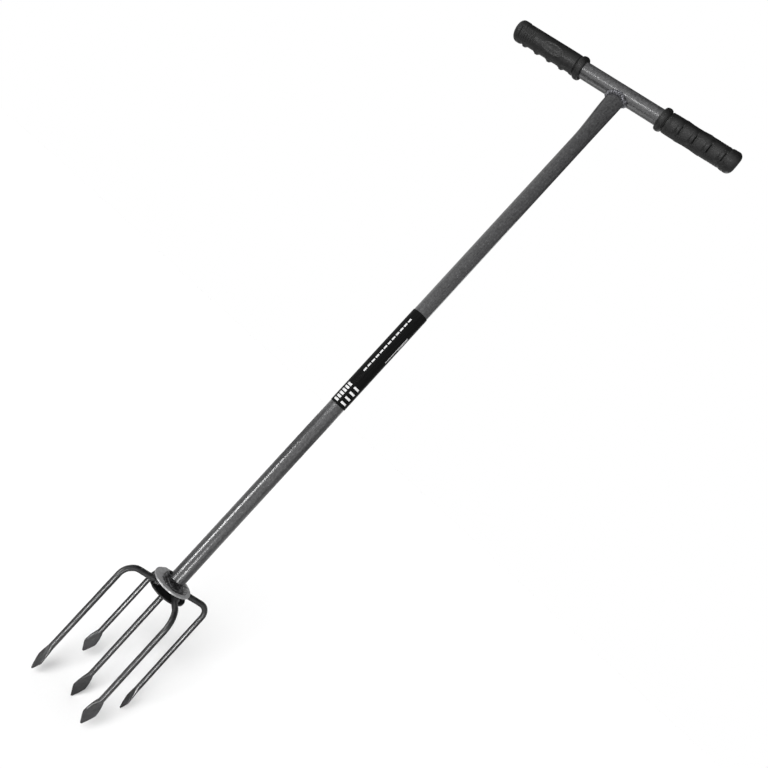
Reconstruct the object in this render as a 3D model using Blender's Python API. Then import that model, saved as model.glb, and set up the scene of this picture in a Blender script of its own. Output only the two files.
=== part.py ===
"""Claw cultivator: a T-handled hand tiller with four bent tines and a centre spike.

The tool stands upright on the point of its centre spike. +Z runs up the shaft and
+X along the handle bar. All sizes are in metres.
"""

import bmesh
import bpy
from math import asin, cos, pi, radians, sin
from mathutils import Matrix, Vector

# Clearance between pieces that are welded, wrapped or pushed on to each other.
SEAT_GAP = 0.0003

# Steel tube of the shaft and the handle bar.
TUBE_DIAMETER = 0.020
TUBE_WALL = 0.0012

# The shaft, from the upper disc to the axis of the handle bar.
SHAFT_HEIGHT = 0.7920
SHAFT_AXIS_X = 0.0019
PRESSED_LENGTH = 0.085
PRESSED_SPREAD = 0.0048
PRESSED_SQUEEZE = 0.0064
PRESSED_SHIFT = -0.0019

# The printed sleeve wrapped round the shaft.
SLEEVE_START = 0.2733
SLEEVE_LENGTH = 0.1445
SLEEVE_FILM = 0.0002

# The handle bar and its two push-on grips. Swells and draws are radial steps from the
# grip's own wall.
HANDLE_SPAN = 0.3264
GRIP_LENGTH = 0.1062
GRIP_WALL = 0.0023
GRIP_END_WALL = 0.0045
GRIP_END_SWELL = 0.0005
GRIP_END_LENGTH = 0.0150
GRIP_END_ROUND = 0.0070
GRIP_NECK_DRAW = 0.0006
COLLAR_SWELL = 0.0016
COLLAR_LENGTH = 0.0090
FINGER_RIDGES = 4
RIDGE_PITCH = 0.0195
RIDGE_RISE = 0.0009
RIDGE_WIDTH = 0.0105
RIDGE_CROWN = 0.0010
HOLLOW_DEPTH = 0.0011
HOLLOW_RUN_OUT = 0.0040
FINGER_HALF_ANGLE = radians(80)
LEFT_GRIP_TURN = radians(38)
RIGHT_GRIP_TURN = radians(-52)

# The two discs that hold the tine arms between them. The upper one sits off centre.
UPPER_DISC_DIAMETER = 0.0496
UPPER_DISC_SHIFT = -0.0014
LOWER_DISC_DIAMETER = 0.0480
DISC_THICKNESS = 0.0020
DISC_EDGE_BREAK = 0.0004

# The tines: forged round rod with a flat, pointed blade. They were bent by hand, so their
# bends differ and two blades are twisted from their place across the arm.
ROD_DIAMETER = 0.0068
TINE_RADIUS = 0.0574
TINE_TURN = radians(40.2)
REAR_RIGHT_DROP = 0.1489
REAR_LEFT_DROP = 0.1424
FRONT_LEFT_DROP = 0.1467
FRONT_RIGHT_DROP = 0.1402
REAR_RIGHT_BEND = 0.0130
REAR_LEFT_BEND = 0.0340
FRONT_LEFT_BEND = 0.0150
FRONT_RIGHT_BEND = 0.0170
FRONT_LEFT_TWIST = radians(16)
SPIKE_TWIST = radians(6)
SPIKE_LENGTH = 0.1518
BLADE_LENGTH = 0.0295
BLADE_WIDTH = 0.0154
BLADE_THICKNESS = 0.0026
BLADE_TIP_WIDTH = 0.0020
BLADE_TIP_THICKNESS = 0.0012

# Weld beads.
FOOT_WELD_WIDTH = 0.0050
FOOT_WELD_HEIGHT = 0.0046
HANDLE_WELD_RADIUS = 0.0032
HANDLE_WELD_UNEVEN = 0.12
SPIKE_WELD_WIDTH = 0.0028
SPIKE_WELD_HEIGHT = 0.0030
ARM_WELD_LENGTH = 0.0090
ARM_WELD_WIDTH = 0.0030
ARM_WELD_ROUND = 0.0024
ARM_WELD_INSET = 0.0015
WELD_LUMP = 0.0005
FOOT_WELD_LUMPS = 9
SPIKE_WELD_LUMPS = 5
HANDLE_WELD_LUMPS = 7

# Mesh fineness.
TUBE_SIDES = 48
ROD_SIDES = 16
GRIP_STEPS = 32
FINGER_RINGS = 32
WELD_SIDES = 32
BEND_STEPS = 8
PRESSED_STEPS = 8

# Outline of a blade from the rod to the point, as shares:
# (height above the point, growth from rod to full width, thinning from rod to full flat).
BLADE_STATIONS = (
    (1.00, 0.00, 0.00),
    (0.92, 0.29, 0.50),
    (0.81, 0.52, 0.78),
    (0.71, 0.71, 0.92),
    (0.61, 0.84, 0.98),
    (0.51, 0.94, 1.00),
    (0.43, 1.00, 1.00),
    (0.34, 0.76, 1.00),
    (0.17, 0.12, 1.00),
)

# Levels, from the point of the spike upwards.
LOWER_DISC_BASE = SPIKE_LENGTH + SEAT_GAP
LOWER_DISC_TOP = LOWER_DISC_BASE + DISC_THICKNESS
ARM_LEVEL = LOWER_DISC_TOP + SEAT_GAP + ROD_DIAMETER / 2
UPPER_DISC_BASE = ARM_LEVEL + ROD_DIAMETER / 2 + SEAT_GAP
UPPER_DISC_TOP = UPPER_DISC_BASE + DISC_THICKNESS
HANDLE_LEVEL = UPPER_DISC_TOP + SHAFT_HEIGHT

# Radii that follow from the tube and the clearance.
TUBE_RADIUS = TUBE_DIAMETER / 2
ROD_RADIUS = ROD_DIAMETER / 2
GRIP_BORE = TUBE_RADIUS + SEAT_GAP
GRIP_BODY = GRIP_BORE + GRIP_WALL
ARM_LANE = ROD_RADIUS + SEAT_GAP / 2

# The stretch of a grip that carries the finger ridges, from its outer end.
FINGER_START = GRIP_END_LENGTH - HOLLOW_RUN_OUT
FINGER_END = GRIP_LENGTH - COLLAR_LENGTH - HOLLOW_RUN_OUT


def clear_scene():
    """Remove every object of the scene that the file was opened with."""
    for obj in list(bpy.data.objects):
        bpy.data.objects.remove(obj, do_unlink=True)


def make_material(name, colour, roughness, metallic):
    """Return a Principled material with one colour, roughness and metallic value."""
    material = bpy.data.materials.new(name)
    material.use_nodes = True
    shader = material.node_tree.nodes["Principled BSDF"]
    shader.inputs["Base Color"].default_value = (*colour, 1.0)
    shader.inputs["Roughness"].default_value = roughness
    shader.inputs["Metallic"].default_value = metallic
    return material


def make_object(name, bm, material, parent=None):
    """Turn a bmesh into a named object with smooth round faces."""
    bmesh.ops.recalc_face_normals(bm, faces=bm.faces)
    mesh = bpy.data.meshes.new(name)
    bm.to_mesh(mesh)
    bm.free()
    mesh.materials.append(material)
    mesh.shade_smooth()
    mesh.set_sharp_from_angle(angle=radians(35))
    obj = bpy.data.objects.new(name, mesh)
    bpy.context.scene.collection.objects.link(obj)
    obj.parent = parent
    return obj


def make_empty(name, location):
    """Return an empty that other objects are parented to."""
    empty = bpy.data.objects.new(name, None)
    empty.location = location
    bpy.context.scene.collection.objects.link(empty)
    return empty


def make_cutter(name, bm, parent=None):
    """Turn a bmesh into a hidden cutter."""
    cutter = make_object(name, bm, bpy.data.materials["steel tube"], parent)
    cutter.hide_render = True
    cutter.display_type = "WIRE"
    return cutter


def cut(obj, cutter):
    """Take the cutter's shape out of the object."""
    modifier = obj.modifiers.new("cut by " + cutter.name, "BOOLEAN")
    modifier.operation = "DIFFERENCE"
    modifier.solver = "EXACT"
    modifier.object = cutter


def start_ring(bm, radius, sides, matrix):
    """Add a ring of edges and return them."""
    made = bmesh.ops.create_circle(bm, radius=radius, segments=sides, matrix=matrix)
    return list({edge for vert in made["verts"] for edge in vert.link_edges})


def grow(bm, edges, matrix):
    """Extrude a ring of edges, move the new ring by a matrix and return its edges."""
    made = bmesh.ops.extrude_edge_only(bm, edges=edges)["geom"]
    verts = [item for item in made if isinstance(item, bmesh.types.BMVert)]
    bmesh.ops.transform(bm, matrix=matrix, verts=verts)
    return [item for item in made if isinstance(item, bmesh.types.BMEdge)]


def close_ring(bm, edges):
    """Cap a ring of edges with one face."""
    bmesh.ops.contextual_create(bm, geom=edges)


def spin_profile(bm, profile, steps, axis):
    """Turn a closed profile of (along, radius) points round an axis through the origin."""
    side = Vector((0, 0, 1)) if abs(axis.x) > 0.5 else Vector((1, 0, 0))
    verts = [bm.verts.new(axis * along + side * radius) for along, radius in profile]
    edges = [bm.edges.new((verts[i - 1], verts[i])) for i in range(len(verts))]
    bmesh.ops.spin(bm, geom=verts + edges, cent=(0, 0, 0), axis=axis, angle=2 * pi,
                   steps=steps, use_merge=True)
    bmesh.ops.remove_doubles(bm, verts=bm.verts, dist=1e-6)


def arc(centre, radius, start, end, steps):
    """Return points along an arc, its first point included."""
    angles = [start + (end - start) * i / steps for i in range(steps + 1)]
    return [(centre[0] + radius[0] * cos(a), centre[1] + radius[1] * sin(a)) for a in angles]


def ease(share):
    """Rise smoothly from 0 to 1."""
    share = min(max(share, 0.0), 1.0)
    return share * share * (3 - 2 * share)


# Shaft and handle bar


def pressed_share(level):
    """Share of the full pressing of the shaft's top end at a level."""
    return ease((level - (HANDLE_LEVEL - PRESSED_LENGTH)) / (PRESSED_LENGTH - TUBE_RADIUS))


def shaft_ring_sizes(level):
    """Return the shaft's half width, half depth and sideways shift at a level."""
    share = pressed_share(level)
    half_width = TUBE_RADIUS + PRESSED_SPREAD / 2 * share
    half_depth = TUBE_RADIUS - PRESSED_SQUEEZE / 2 * share
    return half_width, half_depth, PRESSED_SHIFT * share


def shaft_levels(base, top):
    """Levels of the shaft's rings: its ends and the steps of the pressed length."""
    pressed_start = HANDLE_LEVEL - PRESSED_LENGTH
    pressed_end = HANDLE_LEVEL - TUBE_RADIUS
    step = (pressed_end - pressed_start) / PRESSED_STEPS
    inner = [pressed_start + step * i for i in range(PRESSED_STEPS + 1)]
    return [base] + [level for level in inner if base < level < top] + [top]


def shaft_skin(bm, base, top, grown, closed):
    """Build the shaft's outer skin between two levels, grown outwards by a margin."""
    rings = []
    for level in shaft_levels(base, top):
        half_width, half_depth, shift = shaft_ring_sizes(level)
        sizes = Matrix.Diagonal((half_width + grown, half_depth + grown, 1, 1))
        rings.append(Matrix.Translation((shift, 0, level)) @ sizes)
    first = edges = start_ring(bm, 1.0, TUBE_SIDES, rings[0])
    for last, ring in zip(rings, rings[1:]):
        edges = grow(bm, edges, ring @ last.inverted())
    if closed:
        close_ring(bm, first)
        close_ring(bm, edges)


def build_shaft(material, parent, handle_cutter):
    """The shaft: a tube with its top end pressed oval and cut to sit on the bar."""
    bm = bmesh.new()
    shaft_skin(bm, UPPER_DISC_TOP + SEAT_GAP, HANDLE_LEVEL, 0, False)
    shaft = make_object("shaft_tube", bm, material, parent)
    wall = shaft.modifiers.new("tube wall", "SOLIDIFY")
    wall.thickness = TUBE_WALL
    wall.offset = -1
    cut(shaft, handle_cutter)
    return shaft


def build_handle_cutter():
    """A bar-shaped cutter with the seat's clearance."""
    bm = bmesh.new()
    place = Matrix.Translation((0, 0, HANDLE_LEVEL)) @ Matrix.Rotation(pi / 2, 4, "Y")
    bmesh.ops.create_cone(bm, cap_ends=True, segments=TUBE_SIDES, depth=HANDLE_SPAN / 2,
                          radius1=GRIP_BORE, radius2=GRIP_BORE, matrix=place)
    return make_cutter("handle_cutter", bm)


def build_handle_tube(material):
    """The handle bar: a straight tube that ends inside the two grips."""
    half = HANDLE_SPAN / 2 - GRIP_END_WALL - SEAT_GAP
    inner = TUBE_RADIUS - TUBE_WALL
    profile = [(-half, inner), (half, inner), (half, TUBE_RADIUS), (-half, TUBE_RADIUS)]
    bm = bmesh.new()
    spin_profile(bm, profile, TUBE_SIDES, Vector((1, 0, 0)))
    bar = make_object("handle_tube", bm, material)
    bar.location = (0, 0, HANDLE_LEVEL)
    return bar


def build_sleeve(material, parent):
    """The printed film wrapped round the shaft."""
    inner = TUBE_RADIUS + SEAT_GAP
    outer = inner + SLEEVE_FILM
    base = UPPER_DISC_TOP + SLEEVE_START
    top = base + SLEEVE_LENGTH
    bm = bmesh.new()
    spin_profile(bm, [(base, inner), (base, outer), (top, outer), (top, inner)],
                 TUBE_SIDES, Vector((0, 0, 1)))
    return make_object("label_sleeve", bm, material, parent)


# Grips


def grip_profile():
    """Outline of a grip's skin: (along from its outer end, radius), round to its bore."""
    end = GRIP_BODY + GRIP_END_SWELL
    neck = GRIP_BODY - GRIP_NECK_DRAW
    collar = GRIP_BODY + COLLAR_SWELL
    collar_start = GRIP_LENGTH - COLLAR_LENGTH
    collar_middle = GRIP_LENGTH - COLLAR_LENGTH / 2
    points = arc((GRIP_END_ROUND, end - GRIP_END_ROUND), (GRIP_END_ROUND, GRIP_END_ROUND),
                 pi, pi / 2, 5)
    points += [(FINGER_START, end)]
    run = FINGER_END - HOLLOW_RUN_OUT - GRIP_END_LENGTH
    points += [(GRIP_END_LENGTH + run * i / FINGER_RINGS, GRIP_BODY)
               for i in range(FINGER_RINGS + 1)]
    points += [(collar_start - HOLLOW_RUN_OUT / 2, neck)]
    points += arc((collar_middle, neck), (COLLAR_LENGTH / 2, collar - neck), pi, 0, 8)
    points += [(GRIP_LENGTH, GRIP_BORE), (GRIP_END_WALL, GRIP_BORE)]
    return points


def finger_relief(along, angle):
    """How far the grip's skin stands out (or in) at a place along it and round it."""
    if not FINGER_START < along < FINGER_END:
        return 0.0
    lobe = ease(1 - abs(angle) / FINGER_HALF_ANGLE)
    run_in = ease((along - FINGER_START) / HOLLOW_RUN_OUT)
    run_out = ease((FINGER_END - along) / HOLLOW_RUN_OUT)
    relief = -HOLLOW_DEPTH
    for ridge in range(1, FINGER_RIDGES + 1):
        off = abs(along - ridge * RIDGE_PITCH) - RIDGE_CROWN
        relief += (HOLLOW_DEPTH + RIDGE_RISE) * ease(1 - off / (RIDGE_WIDTH / 2 - RIDGE_CROWN))
    return relief * lobe * run_in * run_out


def wrap_angle(angle):
    """Bring an angle into the range from -pi to pi."""
    return (angle + pi) % (2 * pi) - pi


def build_grip(name, side, turn, material):
    """One grip: a blind rubber sleeve with finger ridges down one side.

    side is -1 for the left end of the bar and 1 for the right. turn is the angle of the
    ridges from straight down, positive towards +Y.
    """
    bm = bmesh.new()
    verts = [bm.verts.new((along, 0, radius)) for along, radius in grip_profile()]
    edges = [bm.edges.new(pair) for pair in zip(verts, verts[1:])]
    bmesh.ops.spin(bm, geom=verts + edges, cent=(0, 0, 0), axis=(1, 0, 0), angle=2 * pi,
                   steps=GRIP_STEPS, use_merge=True)
    bmesh.ops.remove_doubles(bm, verts=bm.verts, dist=1e-6)
    bmesh.ops.holes_fill(bm, edges=bm.edges, sides=0)
    for vert in bm.verts:
        radius = vert.co.yz.length
        if radius > GRIP_BORE + SEAT_GAP:
            angle = Vector((0, -1)).angle_signed(vert.co.yz)
            relief = finger_relief(vert.co.x, wrap_angle(-angle - turn))
            vert.co.yz *= 1 + relief / radius
    place = Matrix.Translation((side * HANDLE_SPAN / 2, 0, 0)) @ Matrix.Diagonal((-side, 1, 1, 1))
    bmesh.ops.transform(bm, matrix=place, verts=bm.verts)
    grip = make_object(name, bm, material)
    grip.location = (0, 0, HANDLE_LEVEL)
    return grip


# Discs and tines


def build_disc(name, diameter, base, shift, material, parent):
    """A flat round disc with broken edges."""
    bm = bmesh.new()
    half = diameter / 2
    rim = half - DISC_EDGE_BREAK
    bmesh.ops.create_cone(bm, cap_ends=True, segments=TUBE_SIDES, depth=DISC_THICKNESS,
                          radius1=half, radius2=half,
                          matrix=Matrix.Translation((0, 0, DISC_THICKNESS / 2)))
    edges = [edge for edge in bm.edges if edge.verts[0].co.z == edge.verts[1].co.z
             and edge.verts[0].co.xy.length > rim]
    bmesh.ops.bevel(bm, geom=edges, offset=DISC_EDGE_BREAK, segments=1, profile=0.5,
                    affect="EDGES", material=-1)
    disc = make_object(name, bm, material, parent)
    disc.location = (shift, 0, base)
    return disc


def blade_sections():
    """Return (height above the point, half width, half thickness) down the blade."""
    sections = []
    for height, growth, thinning in BLADE_STATIONS:
        half_width = ROD_RADIUS + (BLADE_WIDTH / 2 - ROD_RADIUS) * growth
        half_thickness = ROD_RADIUS + (BLADE_THICKNESS / 2 - ROD_RADIUS) * thinning
        sections.append((BLADE_LENGTH * height, half_width, half_thickness))
    sections.append((0, BLADE_TIP_WIDTH / 2, BLADE_TIP_THICKNESS / 2))
    return sections


def blade_half_thickness(height):
    """Half thickness of the blade at a height above its point."""
    sections = blade_sections()
    for (high, _, thick), (low, _, thin) in zip(sections, sections[1:]):
        if height >= low:
            return thin + (thick - thin) * (height - low) / (high - low)
    return sections[-1][2]


def grow_blade(bm, edges, axis, start, point, twist):
    """Draw the rod's last ring down to the blade, close it at its point and hammer it flat.

    start is the level of that ring, axis the rod's (x, y), point the blade's lowest level
    and twist the turn of the blade's width from +Y.
    """
    turn = Matrix.Translation((*axis, 0)) @ Matrix.Rotation(twist, 4, "Z")
    last = turn @ Matrix.Translation((0, 0, start)) @ Matrix.Diagonal((1, ROD_RADIUS, 1, 1))
    for height, half_width, _ in blade_sections():
        place = turn @ Matrix.Translation((0, 0, point + height))
        ring = place @ Matrix.Diagonal((1, half_width, 1, 1))
        edges = grow(bm, edges, ring @ last.inverted())
        last = ring
    close_ring(bm, edges)
    straight = turn.inverted()
    for vert in bm.verts:
        height = vert.co.z - point
        if height < BLADE_LENGTH - SEAT_GAP:
            flat = blade_half_thickness(height)
            across = straight @ vert.co
            across.x = min(max(across.x, -flat), flat)
            vert.co = turn @ across


def build_tine(name, index, drop, bend, twist, material, parent):
    """An outer tine: its arm lies between the discs, then bends down to a leg and blade.

    The arm is modelled along +X and turned to its place. It lies beside the axis, so the
    four arms meet in a pinwheel, each end against its neighbour's flank.
    """
    bend_x = TINE_RADIUS - bend
    start = Matrix.Translation((SEAT_GAP / 2, ARM_LANE, 0)) @ Matrix.Rotation(pi / 2, 4, "Y")
    bm = bmesh.new()
    edges = start_ring(bm, ROD_RADIUS, ROD_SIDES, start)
    close_ring(bm, edges)
    edges = grow(bm, edges, Matrix.Translation((bend_x - SEAT_GAP / 2, 0, 0)))
    centre = Vector((bend_x, ARM_LANE, -bend))
    turn = Matrix.Rotation(pi / 2 / BEND_STEPS, 4, "Y")
    about = Matrix.Translation(centre) @ turn @ Matrix.Translation(-centre)
    for _ in range(BEND_STEPS):
        edges = grow(bm, edges, about)
    grow_blade(bm, edges, (TINE_RADIUS, ARM_LANE), -bend, -drop, twist)
    tine = make_object(name, bm, material, parent)
    tine.location = (0, 0, ARM_LEVEL)
    tine.rotation_euler = (0, 0, TINE_TURN + index * pi / 2)
    return tine


def build_spike(material, parent):
    """The centre spike, welded under the lower disc."""
    bm = bmesh.new()
    edges = start_ring(bm, ROD_RADIUS, ROD_SIDES, Matrix.Translation((0, 0, SPIKE_LENGTH)))
    close_ring(bm, edges)
    grow_blade(bm, edges, (0, 0), SPIKE_LENGTH, 0, SPIKE_TWIST)
    spike = make_object("centre_spike", bm, material, parent)
    spike.rotation_euler = (0, 0, TINE_TURN - pi / 2)
    return spike


# Welds


def lump(angle, count, phase):
    """Unevenness of a weld bead round its ring, from -1 to 1."""
    return 0.6 * sin(count * angle + phase) + 0.4 * sin((count * 2 + 1) * angle + 2 * phase)


def build_ring_weld(name, inner, width, height, base, lumps, material, parent):
    """A lumpy fillet bead round a rod or tube; a negative height hangs below its disc."""
    profile = [(0, inner)] + arc((0, inner), (height, width), 0, pi / 2, 4)
    bm = bmesh.new()
    spin_profile(bm, profile, WELD_SIDES, Vector((0, 0, 1)))
    for vert in bm.verts:
        radius = vert.co.xy.length
        if radius > inner + SEAT_GAP:
            angle = Vector((1, 0)).angle_signed(vert.co.xy)
            vert.co.xy *= 1 + WELD_LUMP * lump(angle, lumps, radius / width) / radius
    weld = make_object(name, bm, material, parent)
    weld.location = (0, 0, base)
    return weld


def handle_weld_path(steps):
    """Points and bead scales along the corner between the shaft's top and the bar."""
    half_width, half_depth, shift = shaft_ring_sizes(HANDLE_LEVEL)
    path = []
    for i in range(steps):
        angle = 2 * pi * i / steps
        y = half_depth * sin(angle)
        level = HANDLE_LEVEL - TUBE_RADIUS * cos(asin(y / TUBE_RADIUS))
        scale = 1 + HANDLE_WELD_UNEVEN * lump(angle, HANDLE_WELD_LUMPS, 1.0)
        path.append((shift + half_width * cos(angle), y, level, scale))
    return path


def build_handle_weld(material, parent, handle_cutter):
    """The bead that joins the shaft's pressed end to the handle bar."""
    path = handle_weld_path(WELD_SIDES)
    curve = bpy.data.curves.new("handle_weld_path", "CURVE")
    curve.dimensions = "3D"
    curve.bevel_depth = HANDLE_WELD_RADIUS
    curve.bevel_resolution = 2
    spline = curve.splines.new("POLY")
    spline.points.add(len(path) - 1)
    for point, (x, y, z, scale) in zip(spline.points, path):
        point.co = (x, y, z, 1)
        point.radius = scale
    spline.use_cyclic_u = True
    guide = bpy.data.objects.new("handle_weld_guide", curve)
    bm = bmesh.new()
    bm.from_mesh(bpy.data.meshes.new_from_object(guide))
    bpy.data.objects.remove(guide)
    weld = make_object("handle_weld", bm, material, parent)
    bm = bmesh.new()
    shaft_skin(bm, HANDLE_LEVEL - PRESSED_LENGTH, HANDLE_LEVEL, SEAT_GAP, True)
    cut(weld, make_cutter("shaft_cutter", bm, parent))
    cut(weld, handle_cutter)
    return weld


def build_arm_weld(name, index, material, parent):
    """The bead that holds one arm between the discs, along the arm's open flank."""
    flank = ROD_DIAMETER + 1.5 * SEAT_GAP
    middle_x = LOWER_DISC_DIAMETER / 2 - ARM_WELD_INSET - ARM_WELD_LENGTH / 2
    place = Matrix.Translation((middle_x, flank + ARM_WELD_WIDTH / 2, 0))
    size = Matrix.Diagonal((ARM_WELD_LENGTH, ARM_WELD_WIDTH, ROD_DIAMETER, 1))
    bm = bmesh.new()
    bmesh.ops.create_cube(bm, size=1.0, matrix=place @ size)
    outer = [edge for edge in bm.edges
             if abs(edge.verts[0].co.z - edge.verts[1].co.z) > SEAT_GAP
             and edge.verts[0].co.y > flank + SEAT_GAP]
    bmesh.ops.bevel(bm, geom=outer, offset=ARM_WELD_ROUND, segments=4, profile=0.5,
                    affect="EDGES", material=-1)
    weld = make_object(name, bm, material, parent)
    weld.location = (0, 0, ARM_LEVEL)
    weld.rotation_euler = (0, 0, TINE_TURN + index * pi / 2)
    return weld


def main():
    """Build every piece of the tool."""
    clear_scene()
    steel = make_material("steel tube", (0.10, 0.10, 0.105), 0.38, 0.85)
    forged = make_material("forged rod", (0.035, 0.035, 0.037), 0.42, 0.7)
    disc_steel = make_material("disc steel", (0.17, 0.17, 0.17), 0.5, 0.8)
    weld_metal = make_material("weld metal", (0.02, 0.02, 0.02), 0.55, 0.6)
    rubber = make_material("grip rubber", (0.018, 0.018, 0.018), 0.6, 0.0)
    film = make_material("label film", (0.01, 0.01, 0.01), 0.4, 0.0)

    axis = make_empty("shaft_axis", (SHAFT_AXIS_X, 0, 0))
    handle_cutter = build_handle_cutter()

    build_shaft(steel, axis, handle_cutter)
    build_handle_tube(steel)
    build_sleeve(film, axis)
    build_grip("left_grip", -1, LEFT_GRIP_TURN, rubber)
    build_grip("right_grip", 1, RIGHT_GRIP_TURN, rubber)

    build_disc("upper_disc", UPPER_DISC_DIAMETER, UPPER_DISC_BASE, UPPER_DISC_SHIFT,
               disc_steel, axis)
    build_disc("lower_disc", LOWER_DISC_DIAMETER, LOWER_DISC_BASE, 0, disc_steel, axis)
    tines = (
        ("rear_right", REAR_RIGHT_DROP, REAR_RIGHT_BEND, 0),
        ("rear_left", REAR_LEFT_DROP, REAR_LEFT_BEND, 0),
        ("front_left", FRONT_LEFT_DROP, FRONT_LEFT_BEND, FRONT_LEFT_TWIST),
        ("front_right", FRONT_RIGHT_DROP, FRONT_RIGHT_BEND, 0),
    )
    for index, (corner, drop, bend, twist) in enumerate(tines):
        build_tine(corner + "_tine", index, drop, bend, twist, forged, axis)
        build_arm_weld(corner + "_arm_weld", index, weld_metal, axis)
    build_spike(forged, axis)

    build_ring_weld("shaft_foot_weld", TUBE_RADIUS + SEAT_GAP, FOOT_WELD_WIDTH,
                    FOOT_WELD_HEIGHT, UPPER_DISC_TOP + SEAT_GAP, FOOT_WELD_LUMPS,
                    weld_metal, axis)
    build_ring_weld("spike_weld", ROD_RADIUS + SEAT_GAP, SPIKE_WELD_WIDTH,
                    -SPIKE_WELD_HEIGHT, LOWER_DISC_BASE - SEAT_GAP, SPIKE_WELD_LUMPS,
                    weld_metal, axis)
    build_handle_weld(weld_metal, axis, handle_cutter)


main()
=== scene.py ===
"""Dressed model of a claw cultivator: a T-handled hand tiller with four bent tines.

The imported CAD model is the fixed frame, in metres. z = 0 is the point of the centre spike,
+Z runs up the shaft and +X along the handle bar. Each CAD node is stood for by a finer piece
in the same place.
"""

import logging
from dataclasses import dataclass, field
from enum import Enum
from math import asin, atan2, cos, hypot, pi, radians, sin, sqrt
from random import Random
from typing import Any, Callable, Optional, Sequence, Union

import bmesh
import bpy
from bmesh.types import BMEdge, BMesh, BMVert
from bpy.types import ID, Material, Node, NodeSocket, NodeTree, Object
from mathutils import Matrix, Vector, noise


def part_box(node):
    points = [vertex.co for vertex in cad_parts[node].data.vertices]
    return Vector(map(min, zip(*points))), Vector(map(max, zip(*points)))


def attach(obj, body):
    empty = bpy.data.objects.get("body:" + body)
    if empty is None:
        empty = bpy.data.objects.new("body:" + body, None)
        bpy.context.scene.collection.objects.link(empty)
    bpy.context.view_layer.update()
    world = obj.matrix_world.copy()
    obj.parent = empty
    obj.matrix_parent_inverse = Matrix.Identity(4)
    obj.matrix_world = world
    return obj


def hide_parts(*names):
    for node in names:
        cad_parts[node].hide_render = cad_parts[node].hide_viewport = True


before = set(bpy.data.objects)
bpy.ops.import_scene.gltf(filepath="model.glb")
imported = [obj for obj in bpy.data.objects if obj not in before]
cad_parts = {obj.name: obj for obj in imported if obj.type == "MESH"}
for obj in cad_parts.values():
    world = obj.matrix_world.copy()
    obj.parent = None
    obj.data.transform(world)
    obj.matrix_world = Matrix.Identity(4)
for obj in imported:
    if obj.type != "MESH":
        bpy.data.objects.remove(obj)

LOG = logging.getLogger("cultivator")

MM = 0.001
ROUND = 96  # steps round a turned part
DRAWN = 0.015  # squeeze of a pattern along the tube, which makes long draw lines of it
ROOT_BODY = "root"
X_AXIS, Z_AXIS = Vector((1, 0, 0)), Vector((0, 0, 1))

Colour = tuple[float, float, float, float]
Pair = tuple[float, float]
Triple = tuple[float, float, float]
Inputs = dict[Union[str, int], Union[Node, NodeSocket, float, str, Sequence[float]]]
Stops = Sequence[tuple[float, Union[str, Colour]]]
BeadPoint = tuple[Vector, Vector, float, float]


class Word(Enum):
    """An option that CAD nodes are named after."""

    @property
    def word(self) -> str:
        """Return the option's name as the nodes spell it."""
        return self.name.lower()


class Corner(Word):
    """Corner of the tool that a tine stands in; the value counts quarter turns."""

    REAR_RIGHT = 0
    REAR_LEFT = 1
    FRONT_LEFT = 2
    FRONT_RIGHT = 3


class Hand(Word):
    """End of the handle bar; the value is the sign of its x."""

    LEFT = -1
    RIGHT = 1


class Run(Enum):
    """Direction in which a tube was drawn; the value stretches its draw lines."""

    ALONG_BAR = (DRAWN, 1.0, 1.0)
    ALONG_SHAFT = (1.0, 1.0, DRAWN)


def ease(share: float) -> float:
    """Rise smoothly from 0 at a share of 0 to 1 at a share of 1, level at both ends."""
    share = min(max(share, 0.0), 1.0)
    return share * share * (3.0 - 2.0 * share)


def hump(off: float, half_width: float) -> float:
    """Return a smooth hump: 1 at its middle, 0 from half_width on to both sides."""
    return ease(1 - abs(off) / half_width)


def spaced(start: float, end: float, steps: int) -> list[float]:
    """Return evenly spaced values from start to end, both included."""
    return [start + (end - start) * i / steps for i in range(steps + 1)]


def wrap_angle(angle: float) -> float:
    """Bring an angle into the range from -pi to pi."""
    return (angle + pi) % (2 * pi) - pi


def shift(x: float, y: float, z: float) -> Matrix:
    """Return the matrix that moves by x, y and z."""
    return Matrix.Translation((x, y, z))


def stretch(x: float, y: float, z: float = 1.0) -> Matrix:
    """Return the matrix that stretches along the three axes."""
    return Matrix.Diagonal((x, y, z, 1.0))


def linear(hex_colour: str) -> Colour:
    """Turn an sRGB hex colour into linear light.

    Args:
        hex_colour: Colour such as "#5a5a5d".

    Returns:
        Linear red, green, blue and an alpha of 1.
    """
    channels = [int(hex_colour[i : i + 2], 16) / 255.0 for i in (1, 3, 5)]
    light = [c / 12.92 if c <= 0.04045 else ((c + 0.055) / 1.055) ** 2.4 for c in channels]
    return light[0], light[1], light[2], 1.0


def per_metre(size_mm: float) -> float:
    """Return the texture scale whose features are size_mm across."""
    return 1.0 / (size_mm * MM)


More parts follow.
